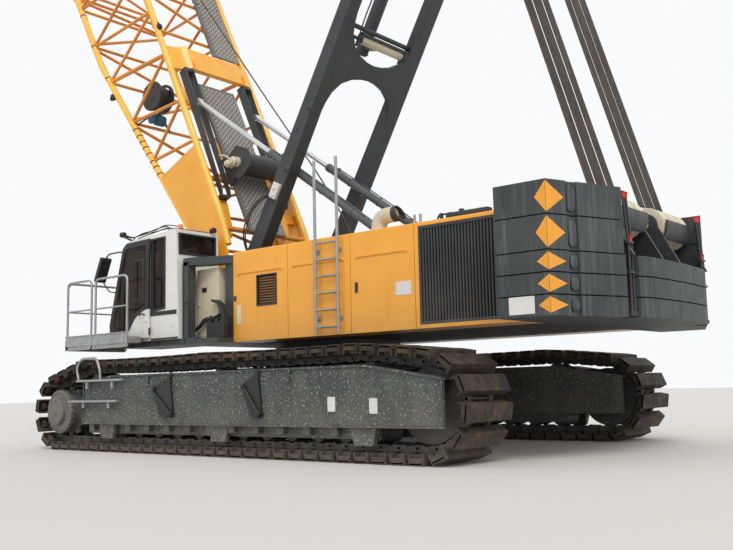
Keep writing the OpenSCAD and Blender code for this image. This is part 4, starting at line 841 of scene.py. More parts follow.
def layerOutline(yIn):
    front, corner, tail = weight["front"], weight["corner"], weight["tail"]
    cutIn, cutOut, depth = weight["recess"][0] - 22, weight["recess"][1] + 22, weight["recess"][2]
    half = [(front, yIn), (front, corner[1]), corner, alongTail(cutIn), alongTail(cutIn + 12, -depth),
            alongTail(cutOut - 12, -depth), alongTail(cutOut)]
    if yIn:
        return half + [alongTail((corner[1] - yIn) / abs(tailStep.y))]
    (slotIn, slotOut), deep = weight["slot"], weight["slotFront"]
    return half + [alongTail((corner[1] - slotOut) / abs(tailStep.y)), (deep, slotOut), (deep, slotIn),
                   (-5896, slotIn), tail, *tailEdge]


def addWeights():
    blocks, slabs = bmesh.new(), bmesh.new()
    for low, high, yIn in weight["layers"]:
        outline = layerOutline(yIn)
        if not yIn:
            outline += [(x, -y) for x, y in reversed(outline[1:-1])]
        bm = blocks if yIn else slabs
        addPrism(bm, outline, low + (weight["seam"] if low > weight["lowest"] else 0), high, "z")
        addPads(bm, low, high)
    addLugs(blocks)
    mirrorAcross(blocks)
    finishPiece("weightBlocks", blocks, "superstructure", "weightPaint", bevel=14,
                replaced=("counterweight_blocks",))
    finishPiece("weightSlabs", slabs, "superstructure", "weightPaint", bevel=14,
                replaced=("counterweight_slabs", "counterweight_tray"))


def addPads(bm, low, high):
    start, end, depth = weight["recess"]
    middle, half = (start + end) / 2, (end - start) / 2
    z0, z1 = low + 55, high - 45
    for side in ((1,) if low >= weight["blocksFrom"] else (1, -1)):
        rings = []
        for out, shrink in ((-depth - 2, 1), (-8, 1), (0, 0.86)):
            ring = []
            for u, v in ovalOutline(0, 0, half, (z1 - z0) / 2):
                x, y = alongTail(middle + u * shrink, out)
                ring.append(bm.verts.new((x, side * y, (z0 + z1) / 2 + v * shrink)))
            rings.append(ring)
        skinRings(bm, rings)


def addLugs(bm):
    crown = arcOutline(-4950, 3354, 90, 0, 0.5, 12)
    addPrism(bm, [(-4690, 3284), *crown, (-5210, 3284)], 1725, 1775,
             holes=(circleOutline(-4950, 3354, 45, 20),))


def addDiamonds():
    # each one folds over the vertical corner edge
    bm = bmesh.new()
    cx, cy = weight["corner"]
    for low, high, _ in weight["layers"]:
        z0, z1 = low + 30, high - 22
        for side in (1, -1):
            for reach, there in ((146, lambda u, out: (cx + u, cy + out)), (268, alongTail)):
                rings = []
                for out in (-2, 3):
                    ring = []
                    for u, z in ((2, z0), (reach, (z0 + z1) / 2), (2, z1)):
                        x, y = there(u, out)
                        ring.append(bm.verts.new((x, side * y, z)))
                    rings.append(ring)
                skinRings(bm, rings)
    finishPiece("cornerDiamonds", bm, "superstructure", "diamondPaint")


def addWeightFittings():
    bm = bmesh.new()
    for y in (1180, 1262):
        addTube(bm, [(-5840, y, 1760), (-5840, y, 2560), (-5800, y, 3180)], 34, 12, 60)
        addTurned(bm, (-5840, y, 1720), "z", [(0, 34), (44, 34), (52, 24)], 6)
    addBox(bm, (-5870, 1150, 2230), (-5810, 1300, 2262))
    addBox(bm, (-5862, 1150, 2600), (-5800, 1300, 2628))
    addBox(bm, (-5300, 240, 2452), (-5210, 900, 2700))
    mirrorAcross(bm)
    finishPiece("slotRods", bm, "superstructure", "blackPaint", bevel=2)
    bm = bmesh.new()
    for x, y, z in ((-5800, 1180, 3190), (-5800, 1262, 3190), (-5846, 1221, 2640)):
        addTurned(bm, (x, y, z), "z", [(-30, 14), (-20, 24), (24, 24), (34, 12)], 12)
        hookOutline = [(x - 24, z + 20), (x + 24, z + 20), (x + 30, z + 58), (x + 6, z + 70),
                       (x - 30, z + 52)]
        addPrism(bm, hookOutline, y - 10, y + 10)
    mirrorAcross(bm)
    finishPiece("rodHooks", bm, "superstructure", "signalRed", bevel=2)
    bm = bmesh.new()
    roundedBox(bm, (-5190, 2446, 1732), (-4850, 2456, 1938), 8)
    for dx in (-5172, -4868):
        for dz in (1748, 1922):
            addTurned(bm, (dx, 2456, dz), "y", [(-1, 7), (3, 7), (4, 4)], 8)
    mirrorAcross(bm)
    finishPiece("weightLabels", bm, "superstructure", "plateWhite", bevel=1.5)


ropeBands = ((332, 545), (590, 895), (940, 1195))  # where the strands lie on each side, from and to in y
ropeBlock = {"x": -5420, "z": 3050, "crest": 258, "trough": 236, "rim": 250, "pitch": 52}


def addRopeBlock():
    bm = bmesh.new()
    crest, trough, rim = ropeBlock["crest"], ropeBlock["trough"], ropeBlock["rim"]
    for low, high in ropeBands:
        count = round((high - low) / ropeBlock["pitch"])
        end = high - low - 10
        step = end / count
        groove = [(-2, 60), (-2, 120), (0, 226), (0, rim)]
        for s in (k * step for k in range(count)):
            groove += [(s + 4, crest), (s + step * 0.35, trough), (s + step * 0.65, trough),
                       (s + step - 4, crest)]
        groove += [(end, rim), (end, 226), (end + 2, 120), (end + 2, 60)]
        addTurned(bm, (ropeBlock["x"], low + 5, ropeBlock["z"]), "y", groove, 40)
    addTurned(bm, (ropeBlock["x"], 0, ropeBlock["z"]), "y", [(0, 55), (1250, 55), (1256, 48)], 24)
    mirrorAcross(bm)
    finishPiece("blockSheaves", bm, "block_sheaves", "creamPaint", replaced=("rope_block_sheaves",))


addWeights()
addDiamonds()
addWeightFittings()
addRopeBlock()
print("stage: counterweight")

# side enclosures

house = {"in": 1240, "out": 1750, "low": 1707, "high": 3170, "front": 700, "rear": -4650, "edge": 26,
         "seams": (-537, -1812, -2971), "gap": 5, "grille": (-4560, -3040, 1760, 3110),
         "vent": (-300, 150, 2250, 2740), "ribs": ((-429, 594), (-1700, -640), (-2860, -1920)),
         "ribHeight": 2800}
deepPanels = {0: (house["vent"], 40), 3: (house["grille"], 76)}  # by panel from the front, with the depth


def addDeepPanel(bm, crown, start, end, opening, depth):
    # a panel around a recess with a closed back
    x0, x1, z0, z1 = opening
    inner, skin, low = house["in"], house["out"], house["low"]
    for a, b in ((start, x0), (x1, end)):
        addPrism(bm, [(inner, low), (skin, low), *crown], a, b, "x")
    addBox(bm, (x0, inner, low), (x1, skin, z0))
    addPrism(bm, [(inner, z1), (skin, z1), *crown], x0, x1, "x")
    addBox(bm, (x0, inner, z0), (x1, skin - depth, z1))


def addGripRib(bm, x0, x1):
    z = house["ribHeight"]
    half = [(x1 - 18, z + 30), (x1, z), (x1, z - 22), (x1 - 30, z - 22), (x1 - 30, z - 4)]
    outline = half + [(x0 + x1 - x, v) for x, v in reversed(half)]
    addPrism(bm, outline, house["out"] - 2, house["out"] + 14)


def addHouses():
    inner, skin, low, high, r = (house[k] for k in ("in", "out", "low", "high", "edge"))
    stops = [house["front"], *house["seams"], house["rear"]]
    crown = [*arcOutline(skin - r, high - r, r, 0, 0.25, 5), (inner, high)]
    for side, name in ((1, "left"), (-1, "right")):
        bm = bmesh.new()
        for k, (x1, x0) in enumerate(zip(stops, stops[1:])):
            start, end = x0 + house["gap"], x1 - house["gap"]
            if k in deepPanels:
                addDeepPanel(bm, crown, start, end, *deepPanels[k])
            else:
                addPrism(bm, [(inner, low), (skin, low), *crown], start, end, "x")
            if k:
                addBox(bm, (x1 - 6, inner, low + 4), (x1 + 6, skin - 14, high - 12))
        for x0, x1 in house["ribs"]:
            addGripRib(bm, x0, x1)
        if side < 0:
            flipped(bm, (1, -1, 1))
        finishPiece("housePanels_" + name, bm, "superstructure", "housePaint", bevel=4,
                    replaced=("house_" + name,))


def addGrilles():
    bm = bmesh.new()
    x0, x1, z0, z1 = house["grille"]
    y = house["out"]
    addPrism(bm, rectangle(x0, z0, x1, z1, 2), y - 74, y - 4, holes=(rectangle(x0, z0, x1, z1, 40),))
    addBox(bm, (x0 + 30, y - 74, z0 + 30), (x1 - 30, y - 62, z1 - 30))
    rib, ribs = bmesh.new(), 29
    addPrism(rib, [(-16, y - 62), (-16, y - 20), (-8, y - 10), (8, y - 10), (16, y - 20), (16, y - 62)],
             z0 + 38, z1 - 38, "z")
    grow(bm, rowOfCopies, rib, ribs, "grillePaint", start=(x0 + 66, 0, 0),
         step=((x1 - x0 - 132) / (ribs - 1), 0, 0))
    slat, slats = bmesh.new(), 11
    addPrism(slat, [(y - 38, 0), (y - 6, -26), (y - 6, -20), (y - 38, 8)], -218, 218, "x")
    x0, x1, z0, z1 = house["vent"]
    grow(bm, rowOfCopies, slat, slats, "grillePaint", start=((x0 + x1) / 2, 0, z0 + 42),
         step=(0, 0, (z1 - z0 - 62) / (slats - 1)))
    addPrism(bm, rectangle(x0, z0, x1, z1, -4), y - 38, y + 7, holes=(rectangle(x0, z0, x1, z1, 14),))
    for x, z in ((651, 2409), (-1924, 2401), (-1924, 2330)):
        roundedBox(bm, (x - 26, y - 2, z - 40), (x + 26, y + 12, z + 40), 14)
        addTurned(bm, (x, y + 12, z), "y", [(-2, 14), (4, 14), (6, 8)], 12)
    mirrorAcross(bm)
    finishPiece("grilleRibs", bm, "superstructure", "grillePaint", bevel=1.5,
                replaced=("radiator_grilles",))
    bm = bmesh.new()
    roundedBox(bm, (-2906, y - 2, 2190), (-2635, y + 4, 2380), 12)
    roundedBox(bm, (520, y - 2, 1990), (610, y + 4, 2290), 12)
    for x, z in ((-2892, 2204), (-2649, 2204), (-2892, 2366), (-2649, 2366)):
        addTurned(bm, (x, y + 4, z), "y", [(-1, 6), (2, 6), (3, 3)], 8)
    mirrorAcross(bm)
    finishPiece("houseLabels", bm, "superstructure", "plateWhite", bevel=1)


def addRoofItems():
    bm = bmesh.new()
    top = house["high"]
    for x in (-2960, -3060):
        addTurned(bm, (x, 1700, top - 4), "z", [(0, 28), (10, 28), (12, 20), (120, 20), (126, 14)], 16)
    finishPiece("roofPosts", bm, "superstructure", "galvanisedSteel", bevel=1.5)
    bm = bmesh.new()
    roundedBox(bm, (-4130, 1560, top - 2), (-3480, 1700, top + 74), 20, "x")
    addBox(bm, (-3420, 1660, top - 2), (-3380, 1700, top + 70))
    addTube(bm, [(-3330, 1680, top + 10), (-3380, 1680, top + 84), (-3440, 1680, top + 60),
                 (-3560, 1680, top + 70)], 26, 10, 40)
    addTurned(bm, (-3700, 1640, top + 70), "z", [(0, 40), (30, 40), (40, 26)], 16)
    finishPiece("roofLatch", bm, "superstructure", "blackPaint", bevel=3)
    addExhaust(top)


exhaust = {"x": -2170, "y": 1500, "bolts": 8, "boltRing": 128, "sleeve": 288, "mouthUp": 230, "sides": 32}


def addExhaust(top):
    bm = bmesh.new()
    x, y = exhaust["x"], exhaust["y"]
    addTurned(bm, (x, y, top - 2), "z", [(0, 146), (30, 146), (38, 136), (38, 60)], 32)
    for u, v in circleOutline(x, y, exhaust["boltRing"], exhaust["bolts"]):
        addTurned(bm, (u, v, top + 36), "z", [(0, 10), (8, 10), (10, 7)], 6)
    bends = ((0, 20), (0, 110), (45, 190), (125, 225), (290, 229))
    addTube(bm, [(x - back, y, top + up) for back, up in bends], 230, 28, 60)
    finishPiece("exhaustPipe", bm, "superstructure", "creamPaint", replaced=("exhaust",), bevel=2)
    bm = bmesh.new()
    rings = []
    for out, r in ((0, 115), (1, 118), (1, 118), (0.98, 103), (-0.2, 100)):
        # the sleeve is cut slanting, longest at its lower side
        ring = [(exhaust["sleeve"] + out * (40 + 60 * (1 - v / 118)), u, v)
                for u, v in circleOutline(0, 0, r, exhaust["sides"])]
        rings.append([bm.verts.new((x - back, y + u, top + exhaust["mouthUp"] + v)) for back, u, v in ring])
    skinRings(bm, rings)
    finishPiece("exhaustMouth", bm, "superstructure", "blackPaint")


ladder = {"y": 1810, "posts": (-1180, -1620), "low": 1735, "high": 4345, "rungs": 6, "firstRung": 1830,
          "rungStep": 250}


def addLadder():
    bm = bmesh.new()
    y = ladder["y"]
    for x in ladder["posts"]:
        addTube(bm, [(x, y, ladder["low"]), (x, y, ladder["high"] - 35), (x, y, ladder["high"])], 46, 14)
        addTurned(bm, (x, y, ladder["high"] - 5), "z", [(0, 23), (8, 20), (12, 10)], 14)
        for z in (1950, 2950):
            addTube(bm, [(x, 1748, z), (x, y, z)], 36, 10)
            roundedBox(bm, (x - 40, 1748, z - 40), (x + 40, 1756, z + 40), 10)
    rung = bmesh.new()
    addTube(rung, [(x, y, 0) for x in ladder["posts"]], 34, 12)
    grow(bm, rowOfCopies, rung, ladder["rungs"], "galvanisedSteel", start=(0, 0, ladder["firstRung"]),
         step=(0, 0, ladder["rungStep"]))
    finishPiece("ladderRails", bm, "superstructure", "galvanisedSteel",
                replaced=("deck_ladder",))


addHouses()
addGrilles()
addRoofItems()
addLadder()
print("stage: enclosures")

# boom, in its own frame: x from the foot pin to the head, z towards the back

boomRear = ((0, 180), (1500, 360), (13400, 360), (17600, -250))
boomFront = ((0, -180), (700, -236), (6450, -1450), (9000, -1600), (13400, -1600), (17600, -900))
boomHalf = ((0, 1050), (13400, 1050), (17600, 560))
boom = {"joints": (8600, 12400), "chord": 125, "lacing": 64, "headShaft": 18300, "headFrom": 17600,
        "walkZ": 422.8}


def level(table, s):
    for (a, u), (b, v) in zip(table, table[1:]):
        if s <= b:
            return u + (v - u) * (s - a) / (b - a)
    return table[-1][1]


def chordPath(table, s0, s1):
    stops = [s0] + [s for s, _ in table if s0 + 60 < s < s1 - 60] + [s1]
    return [(s, level(boomHalf, s), level(table, s)) for s in stops]


def addChords(bm, rearStart, frontStart, s1):
    addTube(bm, chordPath(boomRear, rearStart, s1), boom["chord"], 20, 160)
    addTube(bm, chordPath(boomFront, frontStart, s1), boom["chord"], 20, 160)


def sideLacing(bm, rearStations, frontStations):
    for i, s in enumerate(frontStations):
        low = (s, level(boomHalf, s), level(boomFront, s))
        for k in (i, i + 1):
            if k < len(rearStations):
                u = rearStations[k]
                thick = 84 if (s, u) == (5930, 5300) else boom["lacing"]
                addTube(bm, [low, (u, level(boomHalf, u), level(boomRear, u))], thick, 12)


def faceLacing(bm, stations, table):
    for i, s in enumerate(stations):
        t, h = level(table, s), level(boomHalf, s)
        addTube(bm, [(s, -h, t), (s, h, t)], boom["lacing"], 12)
        if i < len(stations) - 1:
            a, b, side = s + 80, stations[i + 1] - 80, 1 if i % 2 == 0 else -1
            start = (a, -side * level(boomHalf, a), level(table, a))
            end = (b, side * level(boomHalf, b), level(table, b))
            addTube(bm, [start, end], boom["lacing"], 12)


def sectionCollars(bm, s, way):
    for table in (boomRear, boomFront):
        t, y = level(table, s), level(boomHalf, s)
        a, b = sorted((s + way * 4, s + way * 160))
        c, d = sorted((s + way * 4, s + way * 70))
        addTurned(bm, (0, y, t), "x", [(a, 62), (a, 80), (a + 18, 84), (b - 34, 84), (b, 68), (b, 60)], 20)
        roundedBox(bm, (c, y - 34, t - 84), (d, y + 34, t + 84), 20)
        addTurned(bm, (s + way * 36, y, t), "y", [(-62, 26), (62, 26), (66, 18)], 12)


def addBoomFoot():
    j = boom["joints"][0]
    bm = bmesh.new()
    addChords(bm, 1000, 700, j - 6)
    sectionCollars(bm, j, -1)
    mirrorAcross(bm)
    finishPiece("footChords", bm, "boom", "chordPaint", boomFrame, replaced=("boom_foot",))
    bm = bmesh.new()
    sideLacing(bm, [3250, 4180, 5300, 6400, j - 1100, j - 120], [3600, 4700, 5930, j - 1600, j - 500])
    mirrorAcross(bm)
    faceLacing(bm, [1350, 2300, 3250, 4700, 5930, j - 1600, j - 500, j - 100], boomFront)
    faceLacing(bm, [5930, j - 1600, j - 500, j - 100], boomRear)
    addTube(bm, [(1350, -1050, 300), (1350, 1050, 300)], 100, 14)
    addTube(bm, [(2500, -1050, 240), (2500, 1050, 240)], 100, 14)
    finishPiece("footLacing", bm, "boom", "lacingPaint", boomFrame)
    bm = bmesh.new()
    cheek = [*arcOutline(0, 0, 180, 0.25, 0.75, 16), (700, -236), (3120, level(boomFront, 3120)),
             (3120, 360), (1500, 360)]
    addPrism(bm, cheek, 1082, 1108, holes=(circleOutline(0, 0, 65, 24),))
    addTurned(bm, (0, 0, 0), "y", [(1079, 66), (1079, 150), (1088, 168), (1122, 168), (1131, 150),
                                   (1131, 66)], 32)
    addBox(bm, (3096, 1060, level(boomFront, 3110) + 40), (3120, 1112, 330))
    # cross beam with its wings, and the brackets of the guides
    wing = [(650, 580), (720, 512), (800, 470), (900, 440), (1050, 418), (1050, 372), (895, 400), (780, 432),
            (690, 480), (650, 530)]
    addPrism(bm, wing, 4920, 5480, "x")
    addBox(bm, (4880, 0, 540), (5400, 662, 580))
    addBox(bm, (4880, 0, 490), (4910, 620, 541))
    addBox(bm, (5376, 0, 500), (5400, 640, 541))
    addPrism(bm, [(4880, 580), (4960, 640), (5040, 640), (5120, 580)], 640, 662)
    addTurned(bm, (5000, 640, 605), "y", [(-3, 22), (30, 22)], 16)
    addPrism(bm, [(1420, 150), (1900, 229), (2100, 229), (2100, 195), (1800, 60), (1480, 80)], 640, 840)
    addPrism(bm, [(1780, 190), (1960, 225), (1960, 150), (1780, 110)], 839, 1085)
    addPrism(bm, [(1420, 150), (1480, 80), (1420, 40), (1330, 30), (1300, 90), (1340, 150)], 690, 730)
    addBox(bm, (2440, 560, 240), (2560, 600, 400))
    addBox(bm, (2440, 200, 240), (2560, 260, 422))
    addBox(bm, (1300, 200, 300), (1400, 260, 422))
    mirrorAcross(bm)
    for s in (5930, j - 500):
        addBox(bm, (s - 25, -600, 360), (s + 25, -500, 422))
    finishPiece("footPlates", bm, "boom", "cheekPaint", boomFrame, bevel=4)


def addBoomInsert():
    s0, s1 = boom["joints"]
    bm = bmesh.new()
    addChords(bm, s0 + 6, s0 + 6, s1 - 6)
    sectionCollars(bm, s0, 1)
    sectionCollars(bm, s1, -1)
    mirrorAcross(bm)
    finishPiece("insertChords", bm, "boom", "chordPaint", boomFrame,
                replaced=("boom_insert",))
    bm = bmesh.new()
    stations = [s0 + 120, s0 + 1240, s0 + 2480, s1 - 120]
    sideLacing(bm, stations, [s0 + 680, s0 + 1860, s0 + 3100])
    mirrorAcross(bm)
    faceLacing(bm, stations, boomRear)
    faceLacing(bm, stations, boomFront)
    finishPiece("insertLacing", bm, "boom", "lacingPaint", boomFrame)


def addBoomHead():
    s0, n = boom["joints"][1], boom["headShaft"]
    gap = (n - 1200 - s0 - 120) / 4
    rear = [s0 + 120 + i * gap for i in range(5)]
    front = [s0 + 120 + (i + 0.5) * gap for i in range(4)]
    bm = bmesh.new()
    addChords(bm, s0 + 6, s0 + 6, boom["headFrom"])
    sectionCollars(bm, s0, 1)
    mirrorAcross(bm)
    finishPiece("headChords", bm, "boom", "chordPaint", boomFrame, replaced=("boom_head",))
    bm = bmesh.new()
    sideLacing(bm, rear, front)
    mirrorAcross(bm)
    faceLacing(bm, rear, boomRear)
    faceLacing(bm, rear, boomFront)
    addTurned(bm, (n - 350, 0, -400), "y", [(-541, 70), (541, 70)], 24)
    finishPiece("headLacing", bm, "boom", "lacingPaint", boomFrame)
    bm = bmesh.new()
    cheek = [(n - 1000, -170), (n - 800, -100), (n - 200, -100), (n - 50, -260), (n - 50, -1150),
             (n - 150, -1400), (n - 350, -1450), (n - 550, -1350), (n - 1000, -960)]
    addPrism(bm, cheek, 542, 598, holes=(circleOutline(n - 300, -1250, 71, 24),))
    addTurned(bm, (n - 350, 0, -260), "y", [(597, 45), (660, 45)], 20)
    addTurned(bm, (n - 300, 0, -1250), "y", [(596, 71), (596, 130), (612, 130), (616, 120), (616, 71)], 28)
    mirrorAcross(bm)
    addBox(bm, (n - 900, -541, -860), (n - 860, 541, -260))
    finishPiece("headCheeks", bm, "boom", "cheekPaint", boomFrame, bevel=5)


def treadCopy():
    bm = bmesh.new()
    addPrism(bm, [(-34, -5), (-20, -11), (20, -11), (34, -5), (34, 5), (20, 11), (-20, 11), (-34, 5)], 0, 8,
             "z")
    bmesh.ops.rotate(bm, cent=(0, 0, 0), matrix=Matrix.Rotation(math.radians(35), 3, "Z"), verts=bm.verts)
    return bm


walkway = {"runs": ((1250, 4650, -360, 540), (5600, 8500, -900, -200)), "gap": 30, "pitch": 100}


def addWalkways():
    bm, treads = bmesh.new(), bmesh.new()
    z, gap, pitch = boom["walkZ"], walkway["gap"], walkway["pitch"]
    for s0, s1, y0, y1 in walkway["runs"]:
        # two plates with a gap between them, each with a lip down both sides
        middle = (s0 + s1) / 2
        for a, b in ((s0, middle - gap / 2), (middle + gap / 2, s1)):
            addBox(bm, (a, y0, z + 1), (b, y1, z + 34))
            for y in (y0, y1 - 8):
                addBox(bm, (a, y, z - 24), (b, y + 8, z + 2))
        count = int((s1 - s0 - 100) / pitch)
        for row in range(int((y1 - y0 - 60) / pitch)):
            # every second tread is turned the other way and set between its neighbours
            for turned, shift in ((False, 0), (True, pitch / 2)):
                tread = flipped(treadCopy(), (1, -1, 1)) if turned else treadCopy()
                start = (s0 + 50 + shift, y0 + 50 + row * pitch + shift, z + 33)
                grow(treads, rowOfCopies, tread, count, "treadSteel", start=start, step=(pitch, 0, 0))
    finishPiece("walkwayPlates", bm, "boom", "treadPlate", boomFrame,
                replaced=("boom_walkway",))
    finishPiece("walkwayTreads", treads, "boom", "treadSteel", boomFrame)


reel = {"x": 5220, "z": -720, "windows": 4, "spacers": (420, 470, 520, 570)}
reelMotor = {"x": 4830, "z": -960, "fins": 10, "finRing": 106}


def addReel():
    bm = bmesh.new()
    x, z = reel["x"], reel["z"]
    windows = []
    for k in range(reel["windows"]):
        first = k / reel["windows"] + 0.3 / math.tau
        last = first + 1 / math.tau
        windows.append(arcOutline(x, z, 245, first, last, 4) + arcOutline(x, z, 205, last, first, 4))
    addPrism(bm, circleOutline(x, z, 300, 40), 327, 373, holes=windows)
    addTurned(bm, (x, 0, z), "y", [(625, 190), (625, 300), (640, 304), (664, 304), (675, 292), (675, 120),
                                   (686, 110), (686, 40)], 40)
    addTurned(bm, (x, 0, z), "y", [(372, 190), (626, 190)], 40)
    addTurned(bm, (x, 0, z), "y", [(185, 80), (330, 80)], 24)
    addTube(bm, [(4640, 200, level(boomFront, 4640) + 60), (5990, 200, level(boomFront, 5990) + 60)], 50, 12)
    addBox(bm, (5170, 185, level(boomFront, 5220) + 60), (5270, 225, -720))
    for y in reel["spacers"]:
        addTurned(bm, (x, y, z), "y", [(-26, 190), (-22, 214), (22, 214), (26, 190)], 32)
    addTube(bm, [(5220, 520, -510), (5000, 560, -620), (4830, 700, -900),
                 (4600, 1010, level(boomFront, 4600) + 70)], 34, 10, 160)
    finishPiece("hoseReel", bm, "boom", "blackPaint", boomFrame, bevel=3,
                replaced=("hose_reel",))
    bm = bmesh.new()
    addTurned(bm, (reelMotor["x"], 0, reelMotor["z"]), "y", [
        (330, 90), (330, 110), (520, 110), (530, 100), (530, 84), (610, 84), (614, 104), (640, 104),
        (646, 90)], 24)
    for u, v in circleOutline(reelMotor["x"], reelMotor["z"], reelMotor["finRing"], reelMotor["fins"]):
        addBox(bm, (u - 6, 345, v - 6), (u + 6, 510, v + 6))
    finishPiece("reelMotor", bm, "boom", "motorBlue", boomFrame, bevel=3)


def addChordCable():
    # cable strapped along the near front chord, with its clamps
    bm = bmesh.new()
    y = boomHalf[0][1]
    path = []
    for k, s in enumerate(range(3240, 8400, 430)):
        out, up = (76, 10) if k % 2 else (66, -6)
        path.append((s, y - out, level(boomFront, s) + up))
    addTube(bm, path, 24, 10, 200)
    for s in (3230, 3420, 3570, 3780, 3960, 4120, 4290, 4480, 6050, 7000, 7900):
        z = level(boomFront, s)
        addTurned(bm, (s, y, z), "x", [(-12, 64), (-12, 68), (12, 68), (12, 64)], 20)
    for s in (5930, 7640, 8480):
        z = level(boomRear, s)
        roundedBox(bm, (s - 50, y - 30, z + 52), (s + 50, y + 50, z + 120), 18)
        addTube(bm, [(s - 60, y + 10, z + 90), (s + 10, y + 30, z + 130), (s + 90, y + 40, z + 96)], 26, 10,
                40)
    z = level(boomFront, 5560)
    roundedBox(bm, (5500, y - 20, z - 130), (5620, y + 60, z - 58), 20)
    addTurned(bm, (5560, y + 20, z - 150), "z", [(-26, 40), (20, 54), (30, 54)], 16)
    finishPiece("chordCable", bm, "boom", "trimPlastic", boomFrame)


addBoomFoot()
addBoomInsert()
addBoomHead()
addWalkways()
addReel()
addChordCable()
print("stage: boom")

# mast, in its own frame

mast = {"out": 1070, "in": 825, "boxEnd": 7602, "head": 8802, "low": 3750, "high": 4020, "taper": 50}
archProfile = ((0, 0), (18, 0.24), (75, 0.5), (190, 0.74), (370, 0.9), (570, 0.975), (740, 1))


def archCurve():
    # denser than the CAD's, through the same points
    points = []
    for (r0, w0), (r1, w1) in zip(archProfile, archProfile[1:]):
        points += [(r0 + (r1 - r0) * k / 3, w0 + (w1 - w0) * k / 3) for k in range(3)]
    return points + [archProfile[-1]]


def addArchPlate(bm):
    # one plate between the legs, cut to an arch at both ends, that follows the legs' taper
    width = mast["in"] + 2
    lower = [(mast["low"] - r, w * width) for r, w in archCurve()]
    upper = [(mast["high"] + r, w * width) for r, w in archCurve()]
    half = lower + upper[:0:-1]
    outline = half + [(s, -y) for s, y in upper + lower[:0:-1]]
    plate = bmesh.new()
    addPrism(plate, outline, 73, 143, "z")
    for v in plate.verts:
        v.co.z -= v.co.x * mast["taper"] / mast["boxEnd"]
    joined = bpy.data.meshes.new("joined")
    plate.to_mesh(joined)
    plate.free()
    bm.from_mesh(joined)
    bpy.data.meshes.remove(joined)


def addMast():
    bm = bmesh.new()
    y0, y1, end, head = mast["in"], mast["out"], mast["boxEnd"], mast["head"]
    leg = [(0, 145), (end, 95), (end, -95), (0, -145)]
    foot = arcOutline(0, 0, 150, 0.25, 0.75, 14)[1:-1]
    addPrism(bm, [*leg, *reversed(foot)], y0, y1, holes=(circleOutline(0, 0, 50, 20),))
    addBox(bm, (7452, 549.5, -95), (7662, 1070, 95))
    for y in (549.5, 899.5):
        crown = arcOutline(head, 0, 150, 0.25, -0.25, 12)
        addPrism(bm, [(end, 95), *crown, (end, -95)], y, y + 36, holes=(circleOutline(head, 0, 60, 20),))
    for s in (3180, 4640):  # doubler plates where the arch plate meets the leg
        addBox(bm, (s, y0 - 4, -110), (s + 26, y1 + 4, 142 - s * mast["taper"] / mast["boxEnd"]))
    for s, z in ((700, 0), (5200, 30), (2600, -40)):
        addTurned(bm, (s, y1, z), "y", [(-2, 30), (10, 28), (12, 16)], 16)
    addPrism(bm, [(-60, 150), (560, 141), (520, 168), (0, 182)], y0 + 20, y1 - 20)
    mirrorAcross(bm)
    addArchPlate(bm)
    addTurned(bm, (4520, 0, -20), "y", [(-826, 40), (826, 40)], 20)
    addTurned(bm, (7552, 0, 0), "y", [(-826, 80), (826, 80)], 28)
    finishPiece("mastLegs", bm, "mast_frame", "mastPaint", mastFrame, bevel=12,
                replaced=("mast",))


ram = {"eye": (7552, 0, 0), "rodStart": (6102, 0, -290), "foot": 4150, "axis": -290}
hosePath = ((1400, 1150, -30), (1270, 1180, -150), (960, 1176, -270), (620, 1150, -260), (420, 1110, -150),
            (340, 1082, -60))


def addMastFittings():
    bm = bmesh.new()
    addTurned(bm, (4346, 0, 89), "y", [(-550, 40), (-550, 68), (-540, 75), (540, 75), (550, 68), (550, 40)],
              32)
    finishPiece("mastRoller", bm, "mast_frame", "creamPaint", mastFrame, replaced=("mast_ram",))
    bm = bmesh.new()
    for y in (-580, 560):
        addPrism(bm, [(4200, 60), (4420, 50), (4470, 180), (4300, 190)], y, y + 20)
    addBox(bm, (4420, -580, 92), (4462, 580, 168))
    addPrism(bm, [(4286, 40), (4400, 40), (4400, -230), (4216, -230)], -60, 60)
    for y in (-820, 600):
        addTube(bm, [(4346, y, 89), (4346, y + 220, 60)], 60, 12)
    top, low = Vector(ram["eye"]), Vector(ram["rodStart"])
    foot, axis = ram["foot"], ram["axis"]
    u = (top - low).normalized()
    addTube(bm, [(foot, 0, axis), low], 230, 32)
    addTube(bm, [(foot - 14, 0, axis), (foot + 20, 0, axis)], 250, 32)
    addTube(bm, [low - u * 60, low + u * 20], 258, 32)
    addTube(bm, [(4230, 120, -350), (4700, 130, -380), (5400, 128, -372), (6000, 124, -360)], 26, 10, 120)
    addTurned(bm, (foot + 30, 0, axis), "y", [(-100, 50), (-92, 76), (92, 76), (100, 50)], 24)
    finishPiece("ramCylinder", bm, "mast_frame", "portalPaint", mastFrame, bevel=4)
    bm = bmesh.new()
    addTube(bm, [low, top - u * 80.5], 110, 28)
    finishPiece("ramRod", bm, "mast_frame", "chromeRod", mastFrame)
    bm = bmesh.new()
    roundedBox(bm, (1390, 1068, -60), (1660, 1128, 100), 16)
    addTurned(bm, (1450, 1128, 40), "y", [(-2, 26), (26, 26), (30, 20)], 16)
    addTurned(bm, (1560, 1128, 20), "y", [(-2, 20), (30, 20), (34, 14)], 16)
    finishPiece("connectorBox", bm, "mast_frame", "plateWhite", mastFrame, bevel=3)
    bm = bmesh.new()
    for dy, dz in ((0, 0), (26, -24), (8, -48)):
        free = [(s, y + dy, z + dz) for s, y, z in hosePath[:4]]
        addTube(bm, free + [(s, y, z + dz) for s, y, z in hosePath[4:]], 24, 8, 140)
    for s in (1900, 3000):
        addTurned(bm, (s, 1078, 60), "z", [(-30, 10), (30, 10)], 8)
    finishPiece("mastHoses", bm, "mast_frame", "trimPlastic", mastFrame)


backstop = {"y": 742, "rodEye": 5330.7}


